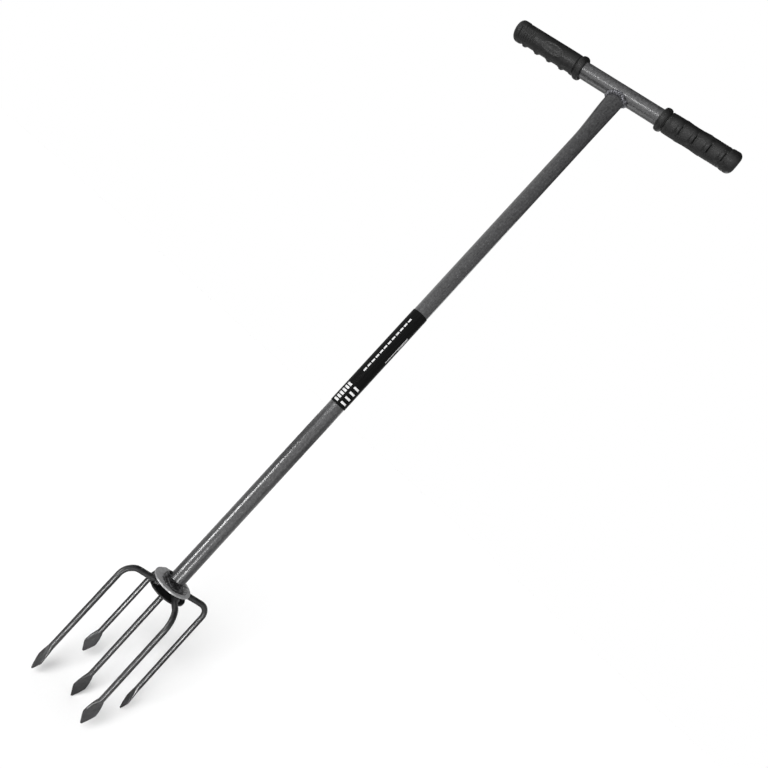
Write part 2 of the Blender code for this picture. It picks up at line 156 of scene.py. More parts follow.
@dataclass(frozen=True)
class NodeDesk:
    """A node tree in the making.

    An input goes by its name or its number. On a Map Range, 0 is the value, 1 and 2 the range
    it comes from, 3 and 4 the range it goes to. On a Mix, 0 is the share, 2 and 3 are the two
    numbers, 6 and 7 the two colours. A colour may be given in sRGB hex.
    """

    tree: NodeTree

    @staticmethod
    def plain(value: Any) -> Any:
        """Return a value as an input takes it, with a hex colour made linear."""
        return linear(value) if isinstance(value, str) else value

    def fill(self, node: Union[Node, str], inputs: Inputs) -> None:
        """Set or link the inputs of a node.

        Args:
            node: The node, or its name in the tree.
            inputs: Values, output sockets, or nodes, whose first output in use is meant.
        """
        node = self.tree.nodes[node] if isinstance(node, str) else node
        for name, value in inputs.items():
            if isinstance(value, Node):
                value = next(socket for socket in value.outputs if socket.enabled)
            if isinstance(value, NodeSocket):
                self.tree.links.new(value, node.inputs[name])
            else:
                node.inputs[name].default_value = self.plain(value)

    def add(
        self, kind: str, inputs: Optional[Inputs] = None, stops: Stops = (), **settings: Any
    ) -> Node:
        """Add a node with its settings, values and links.

        Args:
            kind: Blender's type name of the node, without its ShaderNode.
            inputs: Its inputs.
            stops: Places and colours of a colour ramp.
            **settings: Properties of the node itself.

        Returns:
            The new node.
        """
        node = self.tree.nodes.new("ShaderNode" + kind)
        for name, value in settings.items():
            setattr(node, name, value)
        for number, (place, colour) in enumerate(stops):
            ramp = node.color_ramp.elements
            stop = ramp[number] if number < len(ramp) else ramp.new(place)
            stop.position, stop.color = place, self.plain(colour)
        self.fill(node, inputs or {})
        return node


@dataclass(frozen=True)
class Grain:
    """A noise pattern: the size of its features in millimetres, its detail and roughness."""

    size_mm: float
    detail: float = 2.0
    roughness: float = 0.5


@dataclass(frozen=True)
class Relief:
    """How strongly a pattern stands out of the skin, and how high in metres."""

    strength: float
    height: float


@dataclass(frozen=True)
class Finish:
    """A named surface finish, made as one material."""

    name: str

    def material(self) -> Material:
        """Return the finish's material, made when it is first asked for.

        Returns:
            The material.
        """
        material = bpy.data.materials.get(self.name)
        if material is None:
            material = bpy.data.materials.new(self.name)
            material.use_nodes = True
            self.dress(NodeDesk(material.node_tree))
        return material

    def dress(self, desk: NodeDesk) -> None:
        """Set the shader and its patterns; each finish has its own."""
        raise NotImplementedError


@dataclass(frozen=True)
class TubeLacquer(Finish):
    """Cold drawn steel tube under a thin grey metallic lacquer.

    Drawing leaves fine lines along the tube. The lacquer pools in a fine orange peel, which
    breaks the highlight into a speckled streak, and has pale pinholes.
    """

    run: Run
    dark: str = "#272728"
    light: str = "#444445"
    pinhole: str = "#a2a2a3"
    pinhole_mm: float = 1.7
    mottle: Grain = Grain(2.6, 4.0, 0.65)
    lines: Grain = Grain(0.5)
    line_relief: Relief = Relief(0.35, 0.10 * MM)
    peel: Grain = Grain(1.1, 3.0, 0.6)
    peel_relief: Relief = Relief(0.6, 0.16 * MM)

    def dress(self, desk: NodeDesk) -> None:
        """Set the lacquer's mottle, draw lines, pinholes and orange peel.

        Args:
            desk: The material's nodes.
        """
        place = desk.add("TexCoord").outputs["Object"]
        drawn = desk.add("Mapping", {"Vector": place, "Scale": self.run.value})
        mottle = desk.add("TexNoise", {"Vector": place, "Scale": per_metre(self.mottle.size_mm),
                                       "Detail": self.mottle.detail,
                                       "Roughness": self.mottle.roughness})
        lines = desk.add("TexNoise", {"Vector": drawn, "Scale": per_metre(self.lines.size_mm),
                                      "Detail": self.lines.detail,
                                      "Roughness": self.lines.roughness})
        peel = desk.add("TexNoise", {"Vector": place, "Scale": per_metre(self.peel.size_mm),
                                     "Detail": self.peel.detail,
                                     "Roughness": self.peel.roughness})
        blend = desk.add("Mix", {0: 0.35, 2: mottle, 3: lines})
        tint = desk.add("ValToRGB", {0: blend}, [(0.40, self.dark), (0.60, self.light)])
        holes = desk.add("TexVoronoi", {"Vector": place, "Scale": per_metre(self.pinhole_mm)})
        speck = desk.add("MapRange", {0: holes, 1: 0.10, 2: 0.20, 3: 1.0, 4: 0.0})
        rare = desk.add("MapRange", {0: mottle, 1: 0.55, 2: 0.62, 3: 0.0, 4: 0.8})
        share = desk.add("Math", {0: speck, 1: rare}, operation="MULTIPLY")
        skin = desk.add("Mix", {0: share, 6: tint, 7: self.pinhole}, data_type="RGBA")
        rough = desk.add("MapRange", {0: peel, 1: 0.3, 2: 0.7, 3: 0.26, 4: 0.38})
        low = desk.add("Bump", {"Strength": self.line_relief.strength,
                                "Distance": self.line_relief.height, "Height": lines})
        high = desk.add("Bump", {"Strength": self.peel_relief.strength,
                                 "Distance": self.peel_relief.height, "Height": peel,
                                 "Normal": low})
        desk.fill("Principled BSDF", {"Base Color": skin, "Roughness": rough, "Normal": high,
                                      "Metallic": 0.5, "Coat Normal": high, "Coat Weight": 1.0,
                                      "Coat Roughness": 0.13})


@dataclass(frozen=True)
class ForgedPaint(Finish):
    """Hot forged steel rod under a glossy dark grey paint.

    Forging leaves shallow hammer dents a few millimetres wide, so the gloss runs in broken
    glints. The paint is scoured flat and greyer on the blades, and dark at their points.
    """

    dark: str = "#0c0c0d"
    light: str = "#2c2c2d"
    scoured: str = "#262627"
    point: str = "#121212"
    blade_top: float = 40 * MM
    blade_fade: float = 12 * MM
    point_top: float = 18 * MM
    point_fade: float = 14 * MM
    raggedness: float = 30 * MM
    dents: Grain = Grain(4.0, 3.0)
    dent_relief: Relief = Relief(0.7, 0.42 * MM)
    grain: Grain = Grain(0.7, 3.0, 0.7)
    grain_relief: Relief = Relief(0.7, 0.12 * MM)

    def dress(self, desk: NodeDesk) -> None:
        """Set the paint's mottle, hammer dents and scoured blades.

        Args:
            desk: The material's nodes.
        """
        place = desk.add("TexCoord").outputs["Object"]
        dents = desk.add("TexNoise", {"Vector": place, "Scale": per_metre(self.dents.size_mm),
                                      "Detail": self.dents.detail,
                                      "Roughness": self.dents.roughness})
        grain = desk.add("TexNoise", {"Vector": place, "Scale": per_metre(self.grain.size_mm),
                                      "Detail": self.grain.detail,
                                      "Roughness": self.grain.roughness})
        blend = desk.add("Mix", {0: 0.6, 2: dents, 3: grain})
        tint = desk.add("ValToRGB", {0: blend}, [(0.42, self.dark), (0.60, self.light)])
        height = desk.add("SeparateXYZ", {0: place}).outputs["Z"]
        ragged = desk.add("Math", {0: dents, 1: self.raggedness, 2: height},
                          operation="MULTIPLY_ADD")
        blade = desk.add("MapRange", {0: ragged, 1: self.blade_top,
                                      2: self.blade_top + self.blade_fade, 3: 1.0, 4: 0.0})
        some = desk.add("Math", {0: blade, 1: 0.4}, operation="MULTIPLY")
        worn = desk.add("Mix", {0: some, 6: tint, 7: self.scoured}, data_type="RGBA")
        tip = desk.add("MapRange", {0: ragged, 1: self.point_top,
                                    2: self.point_top + self.point_fade, 3: 0.75, 4: 0.0})
        skin = desk.add("Mix", {0: tip, 6: worn, 7: self.point}, data_type="RGBA")
        even = desk.add("MapRange", {0: grain, 1: 0.3, 2: 0.7, 3: 0.36, 4: 0.50})
        rough = desk.add("Math", {0: blade, 1: 0.15, 2: even}, operation="MULTIPLY_ADD")
        coat = desk.add("MapRange", {0: blade, 3: 0.55, 4: 0.15})
        low = desk.add("Bump", {"Strength": self.dent_relief.strength,
                                "Distance": self.dent_relief.height, "Height": dents})
        high = desk.add("Bump", {"Strength": self.grain_relief.strength,
                                 "Distance": self.grain_relief.height, "Height": grain,
                                 "Normal": low})
        desk.fill("Principled BSDF", {"Base Color": skin, "Roughness": rough, "Normal": high,
                                      "Metallic": 0.25, "Specular IOR Level": 0.3,
                                      "Coat Normal": low, "Coat Weight": coat,
                                      "Coat Roughness": 0.13})


@dataclass(frozen=True)
class PlateLacquer(Finish):
    """Punched steel plate under the grey lacquer.

    The plate has a fine even grain and a lighter tone than the tube. Welding has burnt the
    lacquer dark round the middle, in an uneven ring.
    """

    axis_x: float
    dark: str = "#828283"
    light: str = "#a8a8a9"
    burnt: str = "#2a2a2b"
    burnt_inner: float = 16 * MM
    burnt_outer: float = 19 * MM
    raggedness: float = 6 * MM
    cloud: Grain = Grain(5.0)
    grain: Grain = Grain(0.6, 3.0, 0.7)
    grain_relief: Relief = Relief(0.5, 0.06 * MM)

    def dress(self, desk: NodeDesk) -> None:
        """Set the plate's grain and its burnt ring.

        Args:
            desk: The material's nodes.
        """
        place = desk.add("TexCoord").outputs["Object"]
        grain = desk.add("TexNoise", {"Vector": place, "Scale": per_metre(self.grain.size_mm),
                                      "Detail": self.grain.detail,
                                      "Roughness": self.grain.roughness})
        cloud = desk.add("TexNoise", {"Vector": place, "Scale": per_metre(self.cloud.size_mm),
                                      "Detail": self.cloud.detail,
                                      "Roughness": self.cloud.roughness})
        blend = desk.add("Mix", {0: 0.45, 2: grain, 3: cloud})
        tint = desk.add("ValToRGB", {0: blend}, [(0.38, self.dark), (0.62, self.light)])
        flat = desk.add("Mapping", {"Vector": place, "Location": (-self.axis_x, 0.0, 0.0),
                                    "Scale": (1.0, 1.0, 0.0)})
        reach = desk.add("VectorMath", {0: flat}, operation="LENGTH")
        ragged = desk.add("Math", {0: cloud, 1: self.raggedness, 2: reach},
                          operation="MULTIPLY_ADD")
        burn = desk.add("MapRange", {0: ragged, 1: self.burnt_inner, 2: self.burnt_outer,
                                     3: 0.85, 4: 0.0})
        skin = desk.add("Mix", {0: burn, 6: tint, 7: self.burnt}, data_type="RGBA")
        rough = desk.add("MapRange", {0: grain, 1: 0.3, 2: 0.7, 3: 0.36, 4: 0.56})
        relief = desk.add("Bump", {"Strength": self.grain_relief.strength,
                                   "Distance": self.grain_relief.height, "Height": grain})
        desk.fill("Principled BSDF", {"Base Color": skin, "Roughness": rough, "Normal": relief,
                                      "Metallic": 0.5})


@dataclass(frozen=True)
class WeldMetal(Finish):
    """Arc weld bead under the lacquer.

    A bead is dark with oxide, pitted and rough in places, and glossy on its crests, so it
    shows small hard glints in a dark mass.
    """

    dark: str = "#0a0a0b"
    light: str = "#4c4c4e"
    cloud: Grain = Grain(2.4, 3.0)
    pits: Grain = Grain(1.1, 4.0, 0.7)
    pit_relief: Relief = Relief(0.8, 0.45 * MM)

    def dress(self, desk: NodeDesk) -> None:
        """Set the bead's oxide clouds, pits and glossy crests.

        Args:
            desk: The material's nodes.
        """
        place = desk.add("TexCoord").outputs["Object"]
        pits = desk.add("TexNoise", {"Vector": place, "Scale": per_metre(self.pits.size_mm),
                                     "Detail": self.pits.detail,
                                     "Roughness": self.pits.roughness})
        cloud = desk.add("TexNoise", {"Vector": place, "Scale": per_metre(self.cloud.size_mm),
                                      "Detail": self.cloud.detail,
                                      "Roughness": self.cloud.roughness})
        tint = desk.add("ValToRGB", {0: cloud}, [(0.40, self.dark), (0.66, self.light)])
        rough = desk.add("MapRange", {0: cloud, 1: 0.35, 2: 0.65, 3: 0.48, 4: 0.20})
        relief = desk.add("Bump", {"Strength": self.pit_relief.strength,
                                   "Distance": self.pit_relief.height, "Height": pits})
        desk.fill("Principled BSDF", {"Base Color": tint, "Roughness": rough, "Normal": relief,
                                      "Metallic": 0.75, "Coat Normal": relief, "Coat Weight": 0.8,
                                      "Coat Roughness": 0.12})


@dataclass(frozen=True)
class GripRubber(Finish):
    """Moulded black rubber of the push-on grips.

    The mould is spark textured: an even stipple that spreads the light into a soft grey
    sheen. Handling and dust leave faint pale clouds.
    """

    dark: str = "#060606"
    light: str = "#0e0e0e"
    dust: str = "#181818"
    cloud: Grain = Grain(9.0, 4.0)
    stipple: Grain = Grain(1.2, 3.0, 0.7)
    stipple_relief: Relief = Relief(1.0, 0.22 * MM)
    crackle_mm: float = 2.2
    crackle_relief: Relief = Relief(0.35, 0.10 * MM)

    def dress(self, desk: NodeDesk) -> None:
        """Set the rubber's stipple, crackle and dust.

        Args:
            desk: The material's nodes.
        """
        place = desk.add("TexCoord").outputs["Object"]
        stipple = desk.add("TexNoise", {"Vector": place, "Scale": per_metre(self.stipple.size_mm),
                                        "Detail": self.stipple.detail,
                                        "Roughness": self.stipple.roughness})
        cells = desk.add("TexVoronoi", {"Vector": place, "Scale": per_metre(self.crackle_mm)},
                         feature="DISTANCE_TO_EDGE")
        cloud = desk.add("TexNoise", {"Vector": place, "Scale": per_metre(self.cloud.size_mm),
                                      "Detail": self.cloud.detail,
                                      "Roughness": self.cloud.roughness})
        tint = desk.add("ValToRGB", {0: stipple}, [(0.35, self.dark), (0.65, self.light)])
        dusty = desk.add("MapRange", {0: cloud, 1: 0.52, 2: 0.72, 3: 0.0, 4: 0.5})
        skin = desk.add("Mix", {0: dusty, 6: tint, 7: self.dust}, data_type="RGBA")
        rough = desk.add("MapRange", {0: cloud, 1: 0.3, 2: 0.7, 3: 0.28, 4: 0.44})
        cracked = desk.add("MapRange", {0: cells, 1: 0.0, 2: 0.12, 3: 0.0, 4: 1.0})
        low = desk.add("Bump", {"Strength": self.crackle_relief.strength,
                                "Distance": self.crackle_relief.height, "Height": cracked})
        high = desk.add("Bump", {"Strength": self.stipple_relief.strength,
                                 "Distance": self.stipple_relief.height, "Height": stipple,
                                 "Normal": low})
        desk.fill("Principled BSDF", {"Base Color": skin, "Roughness": rough, "Normal": high,
                                      "Specular IOR Level": 0.46})


@dataclass(frozen=True)
class PrintMark:
    """A plain pale rectangle of the label's print, in metres on the film."""

    around: float
    up: float
    wide: float
    tall: float


@dataclass(frozen=True)
class LabelFilm(Finish):
    """Black vinyl film with a satin face, printed in one pale ink.

    The film is smooth, so it shows one soft highlight, with faint scuffs along the shaft.
    The print is plain bars, a dashed rule and two fine rules, a little rubbed.
    """

    marks: tuple[PrintMark, ...]
    film: str = "#070707"
    scuffed: str = "#101010"
    ink: str = "#bababa"
    rubs: Grain = Grain(0.9)
    scuffs: Grain = Grain(0.8, 3.0)
    scuff_relief: Relief = Relief(0.2, 0.03 * MM)

    def dress(self, desk: NodeDesk) -> None:
        """Set the film's scuffs and its printed marks.

        Args:
            desk: The material's nodes.
        """
        coords = desk.add("TexCoord").outputs
        place, flat = coords["Object"], desk.add("SeparateXYZ", {0: coords["UV"]}).outputs
        drawn = desk.add("Mapping", {"Vector": place, "Scale": Run.ALONG_SHAFT.value})
        scuffs = desk.add("TexNoise", {"Vector": drawn, "Scale": per_metre(self.scuffs.size_mm),
                                       "Detail": self.scuffs.detail,
                                       "Roughness": self.scuffs.roughness})
        rubs = desk.add("TexNoise", {"Vector": place, "Scale": per_metre(self.rubs.size_mm),
                                     "Detail": self.rubs.detail,
                                     "Roughness": self.rubs.roughness})
        base = desk.add("ValToRGB", {0: scuffs}, [(0.50, self.film), (0.72, self.scuffed)])
        printed: Union[Node, float] = 0.0
        for mark in self.marks:
            wide = desk.add("Math", {0: flat["X"], 1: mark.around, 2: mark.wide / 2},
                            operation="COMPARE")
            tall = desk.add("Math", {0: flat["Y"], 1: mark.up, 2: mark.tall / 2},
                            operation="COMPARE")
            printed = desk.add("Math", {0: wide, 1: tall, 2: printed},
                               operation="MULTIPLY_ADD")
        kept = desk.add("MapRange", {0: rubs, 1: 0.30, 2: 0.42, 3: 0.55, 4: 1.0})
        inked = desk.add("Math", {0: printed, 1: kept}, operation="MULTIPLY")
        skin = desk.add("Mix", {0: inked, 6: base, 7: self.ink}, data_type="RGBA")
        rough = desk.add("MapRange", {0: scuffs, 1: 0.4, 2: 0.7, 3: 0.34, 4: 0.52})
        relief = desk.add("Bump", {"Strength": self.scuff_relief.strength,
                                   "Distance": self.scuff_relief.height, "Height": scuffs})
        desk.fill("Principled BSDF", {"Base Color": skin, "Roughness": rough, "Normal": relief,
                                      "Specular IOR Level": 0.07})


@dataclass(frozen=True)
class StudioPaper(Finish):
    """Matt white background paper, with the faint tooth of the sheet."""

    sheet: str = "#f4f4f4"
    pit: str = "#f1f1f1"
    tooth: Grain = Grain(3.0)

    def dress(self, desk: NodeDesk) -> None:
        """Set the paper's tone and tooth.

        Args:
            desk: The material's nodes.
        """
        place = desk.add("TexCoord").outputs["Object"]
        tooth = desk.add("TexNoise", {"Vector": place, "Scale": per_metre(self.tooth.size_mm),
                                      "Detail": self.tooth.detail,
                                      "Roughness": self.tooth.roughness})
        skin = desk.add("Mix", {0: tooth, 6: self.sheet, 7: self.pit}, data_type="RGBA")
        desk.fill("Principled BSDF", {"Base Color": skin, "Roughness": 0.95,
                                      "Specular IOR Level": 0.1})


@dataclass(frozen=True)
class GreyGlowSheet(Finish):
    """A glowing grey sheet that only the gloss sees: painted reflection of a lit surface; each
    grey is a reach in metres and a level.
    """

    greys: tuple[Pair, ...] = ((0.3, 0.18), (0.8, 0.65), (1.5, 0.6), (4.0, 0.08))

    def dress(self, desk: NodeDesk) -> None:
        """Set the sheet's glow by the distance from the tool.

        Args:
            desk: The material's nodes.
        """
        far = self.greys[-1][0]
        place = desk.add("TexCoord").outputs["Object"]
        away = desk.add("VectorMath", {0: place}, operation="LENGTH")
        share = desk.add("Math", {0: away, 1: far}, operation="DIVIDE")
        stops = [(reach / far, (grey, grey, grey, 1.0)) for reach, grey in self.greys]
        glow = desk.add("Emission", {"Strength": desk.add("ValToRGB", {0: share}, stops)})
        nodes = desk.tree.nodes
        nodes.remove(nodes["Principled BSDF"])
        desk.fill(nodes["Material Output"], {"Surface": glow})


@dataclass(frozen=True)
class Seats:
    """Places that the CAD model gives to the pieces, in metres."""

    axis_x: float
    bar_level: float
    bar_half: float
    grip_end: float
    upper_base: float
    upper_top: float
    lower_base: float
    lower_top: float

    @classmethod
    def from_frame(cls) -> "Seats":
        """Read the places off the CAD nodes' boxes.

        Returns:
            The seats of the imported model.
        """
        upper, lower, bar = map(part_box, ("upper_disc", "lower_disc", "handle_tube"))
        return cls(
            axis_x=(lower[0].x + lower[1].x) / 2,
            bar_level=(bar[0].z + bar[1].z) / 2,
            bar_half=bar[1].x,
            grip_end=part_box("right_grip")[1].x,
            upper_base=upper[0].z,
            upper_top=upper[1].z,
            lower_base=lower[0].z,
            lower_top=lower[1].z,
        )


@dataclass(frozen=True)
class TubeStock:
    """Drawn steel tube that the shaft and the bar are cut from."""

    radius: float = 10 * MM
    wall: float = 1.2 * MM


def add_object(name: str, data: ID) -> Object:
    """Put a mesh, lamp or camera into the scene.

    Args:
        name: Name of the object.
        data: The mesh, lamp or camera.

    Returns:
        The new object.
    """
    thing = bpy.data.objects.new(name, data)
    bpy.context.scene.collection.objects.link(thing)
    return thing


def add_mesh(name: str, bm: BMesh, finish: Finish) -> Object:
    """Turn a mesh into an object of one finish.

    Args:
        name: Name of the object.
        bm: Its mesh, in place; it is freed.
        finish: Its finish.

    Returns:
        The new object.
    """
    mesh = bpy.data.meshes.new(name)
    bm.to_mesh(mesh)
    bm.free()
    mesh.materials.append(finish.material())
    return add_object(name, mesh)


def grow(bm: BMesh, edges: list[BMEdge], matrix: Matrix) -> list[BMEdge]:
    """Extrude a ring and move the new one.

    Args:
        bm: Mesh that holds the ring.
        edges: The ring's edges.
        matrix: Move from the old ring to the new one.

    Returns:
        The new ring's edges.
    """
    made = bmesh.ops.extrude_edge_only(bm, edges=edges)["geom"]
    verts = [item for item in made if isinstance(item, BMVert)]
    bmesh.ops.transform(bm, matrix=matrix, verts=verts)
    return [item for item in made if isinstance(item, BMEdge)]


def grow_through(
    places: Sequence[Matrix], sides: int, closed: bool
) -> tuple[BMesh, list[BMEdge]]:
    """Grow a skin of unit rings through a row of places.

    Args:
        places: Matrix of each ring, which starts as a circle of radius 1.
        sides: Number of edges of a ring.
        closed: Whether both ends are capped.

    Returns:
        The new mesh and its last ring's edges.
    """
    bm = bmesh.new()
    bmesh.ops.create_circle(bm, radius=1.0, segments=sides, matrix=places[0])
    first = edges = bm.edges[:]
    for last, place in zip(places, places[1:]):
        edges = grow(bm, edges, place @ last.inverted())
    if closed:
        bmesh.ops.contextual_create(bm, geom=first)
        bmesh.ops.contextual_create(bm, geom=edges)
    return bm, edges


def turned(profile: Sequence[Pair], axis: Vector, closed: bool = True) -> BMesh:
    """Turn an outline once round an axis through the origin.

    Args:
        profile: Points of the outline, as (along, radius).
        axis: Unit vector of the axis, X or Z.
        closed: Whether the outline's last point joins its first.

    Returns:
        The new mesh.
    """
    bm = bmesh.new()
    side = Z_AXIS if axis.x else X_AXIS
    verts = [bm.verts.new(axis * along + side * radius) for along, radius in profile]
    pairs = list(zip(verts, verts[1:])) + ([(verts[-1], verts[0])] if closed else [])
    edges = [bm.edges.new(pair) for pair in pairs]
    bmesh.ops.spin(bm, geom=verts + edges, cent=(0, 0, 0), axis=axis, angle=2 * pi,
                   steps=ROUND, use_merge=True)
    bmesh.ops.remove_doubles(bm, verts=bm.verts, dist=1e-6)
    return bm


def arc(centre: Pair, reach: Pair, start: float, end: float, steps: int) -> list[Pair]:
    """Return points along an arc of an ellipse, both ends included.

    Args:
        centre: Centre of the ellipse.
        reach: Its two half axes.
        start: Angle of the first point.
        end: Angle of the last point.
        steps: Number of steps between them.

    Returns:
        The points.
    """
    return [(centre[0] + reach[0] * cos(angle), centre[1] + reach[1] * sin(angle))
            for angle in spaced(start, end, steps)]


@dataclass(frozen=True)
class Ripple:
    """The stacked crescents that a welder's hand leaves along a bead."""

    pitch: float = 2.2 * MM
    rise: float = 0.22
    skew: float = 0.6
    lean: float = 0.55
    steps: int = 8
    sides: int = 16

    def swell(self, along: float) -> float:
        """Return the bead's size at a distance along it, about 1."""
        share = (along / self.pitch) % 1.0
        return 1.0 - self.rise / 2 + self.rise * sin(pi * share**self.skew)

    def lay(self, path: Callable[[float], BeadPoint], length: float, closed: bool) -> BMesh:
        """Lay a rippled weld bead along a path.

        Args:
            path: Gives the place, the outward side, the width and the height of the bead
                at a share of the path from 0 to 1.
            length: Length of the path.
            closed: Whether the path comes back to its start.

        Returns:
            The bead's mesh.
        """
        coins = max(round(length / self.pitch), 1)
        steps = coins * self.steps
        lean = Matrix.Identity(4)
        lean[2][0] = self.lean
        places = []
        for i in range(steps + (not closed)):
            point, outward, wide, high = path(i / steps)
            tangent = path((i + 0.5) / steps)[0] - path((i - 0.5) / steps)[0]
            tangent.normalize()
            out = (outward - tangent * outward.dot(tangent)).normalized()
            turn = Matrix((out, tangent.cross(out), tangent)).transposed().to_4x4()
            swell = self.swell(i / steps * coins * self.pitch)
            places.append(shift(*point) @ turn @ lean @ stretch(wide * swell, high * swell))
        bm, last = grow_through(places, self.sides, not closed)
        if closed:
            first = [edge for edge in bm.edges if edge.is_boundary and edge not in set(last)]
            bmesh.ops.bridge_loops(bm, edges=first + last)
        return bm


@dataclass
class SubAssembly:
    """A group of pieces that are built and dressed together."""

    seats: Seats

    def add_piece(
        self,
        name: str,
        bm: BMesh,
        finish: Finish,
        slot: str,
        node: Optional[str] = None,
        sharp: float = 40.0,
    ) -> None:
        """Turn a mesh into a finished piece that rides on the tool.

        Args:
            name: Name of the piece.
            bm: Its mesh, in place; it is freed.
            finish: Its finish.
            slot: Name of a material slot; not used.
            node: CAD node that the piece stands for.
            sharp: Angle above which an edge stays hard, in degrees.
        """
        bmesh.ops.recalc_face_normals(bm, faces=bm.faces)
        piece = add_mesh(name, bm, finish)
        piece.data.shade_smooth()
        piece.data.set_sharp_from_angle(angle=radians(sharp))
        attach(piece, ROOT_BODY)
        if node:
            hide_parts(node)
        LOG.info("%s: %d faces, %s", name, len(piece.data.polygons), finish.name)


@dataclass
class Shaft(SubAssembly):
    """The upright tube, its pressed top end and the printed film round it."""

    tube: TubeStock = TubeStock()
    seat_gap: float = 0.3 * MM
    pressed_length: float = 85 * MM
    pressed_spread: float = 4.8 * MM
    pressed_squeeze: float = 6.4 * MM
    pressed_shift: float = -1.9 * MM
    straight_steps: int = 12
    pressed_steps: int = 32
    below_bar: float = 2 * MM
    notch_step: float = 1.5 * MM
    film: float = 0.2 * MM
    film_soft: float = 0.15 * MM
    film_lap: float = 0.12 * MM
    film_steps: int = 24
    lap_angle: float = radians(26)
    facing: float = radians(-73.5)

    def ring_sizes(self, level: float) -> Triple:
        """Return the shaft's half width, half depth and sideways shift at a level.

        Args:
            level: Height of the ring.

        Returns:
            Half width along the bar, half depth across it and shift along the bar.
        """
        start = self.seats.bar_level - self.pressed_length
        share = ease((level - start) / (self.pressed_length - self.tube.radius))
        return (self.tube.radius + self.pressed_spread / 2 * share,
                self.tube.radius - self.pressed_squeeze / 2 * share,
                self.pressed_shift * share)

    def ring_place(self, level: float) -> Matrix:
        """Return the matrix of the shaft's ring at a level."""
        half_width, half_depth, aside = self.ring_sizes(level)
        return shift(self.seats.axis_x + aside, 0, level) @ stretch(half_width, half_depth)

    def build_tube(self) -> None:
        """Build the tube, its top end notched to sit round the bar."""
        bar, radius = self.seats.bar_level, self.tube.radius
        base, pressed = self.seats.upper_top + self.seat_gap, bar - self.pressed_length
        levels = spaced(base, pressed, self.straight_steps)[:-1]
        levels += spaced(pressed, bar - radius - self.below_bar, self.pressed_steps)
        bm, edges = grow_through([self.ring_place(z) for z in levels], ROUND, False)
        edges = grow(bm, edges, shift(0, 0, self.notch_step))
        for vert in {vert for edge in edges for vert in edge.verts}:
            vert.co.z = bar - sqrt((radius + self.seat_gap) ** 2 - vert.co.y**2)
        bmesh.ops.recalc_face_normals(bm, faces=bm.faces)
        bmesh.ops.solidify(bm, geom=bm.faces[:], thickness=self.tube.wall)
        finish = TubeLacquer("lacquered tube, shaft", Run.ALONG_SHAFT)
        self.add_piece("shaft_body", bm, finish, "tube_steel", "shaft_tube")

    @staticmethod
    def label_marks() -> tuple[PrintMark, ...]:
        """Return the film's plain print: two rows of bars, a dashed rule and two fine rules.

        Returns:
            The print's marks.
        """
        rows = [(-6.6, 4.5, 4.6, 6.4, 3.0, 6), (4.2, 5.5, 7.4, 7.6, 2.6, 4),
                (-4.6, 52.0, 7.0, 2.0, 5.2, 12), (9.2, 92.5, 0.0, 1.0, 39.0, 1),
                (10.9, 103.0, 0.0, 0.8, 17.0, 1)]
        return tuple(PrintMark(around * MM, (up + pitch * i) * MM, wide * MM, tall * MM)
                     for around, up, pitch, wide, tall, count in rows for i in range(count))

    def build_film(self) -> None:
        """Build the film: one turn round the shaft, lapped over itself at the back."""
        inner = self.tube.radius + self.seat_gap / 3
        outer = self.tube.radius + self.seat_gap + self.film
        low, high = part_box("label_sleeve")
        base, top, soft = low.z, high.z, self.film_soft
        outline = [(base, inner), (base, outer - soft)]
        outline += [(z, outer) for z in spaced(base + soft, top - soft, self.film_steps)]
        bm = turned(outline + [(top, outer - soft), (top, inner)], Z_AXIS)
        for vert in bm.verts:
            angle = wrap_angle(atan2(vert.co.y, vert.co.x) - self.facing - pi)
            reach = vert.co.xy.length
            if reach > inner + self.film / 2 and abs(angle) < self.lap_angle:
                vert.co.xy *= 1 + self.film_lap / reach
        paper = bm.loops.layers.uv.new("wrap")
        for face in bm.faces:
            middle = face.calc_center_median()
            about = atan2(middle.y, middle.x)
            for loop in face.loops:
                turn = wrap_angle(atan2(loop.vert.co.y, loop.vert.co.x) - about)
                around = wrap_angle(about - self.facing) + turn
                loop[paper].uv = (around * outer, loop.vert.co.z - base)
        bmesh.ops.translate(bm, vec=(self.seats.axis_x, 0, 0), verts=bm.verts)
        finish = LabelFilm("printed vinyl film", self.label_marks())
        self.add_piece("label_wrap", bm, finish, "label_film", "label_sleeve")

    def build(self) -> None:
        """Build the shaft's pieces."""
        self.build_tube()
        self.build_film()


@dataclass(frozen=True)
class Hump:
    """A smooth furrow or rim: the place of its middle, its half width and its depth."""

    middle: float
    half_width: float
    depth: float

    def at(self, place: float) -> float:
        """Return the furrow's depth, or the rim's height, at a place."""
        return self.depth * hump(place - self.middle, self.half_width)


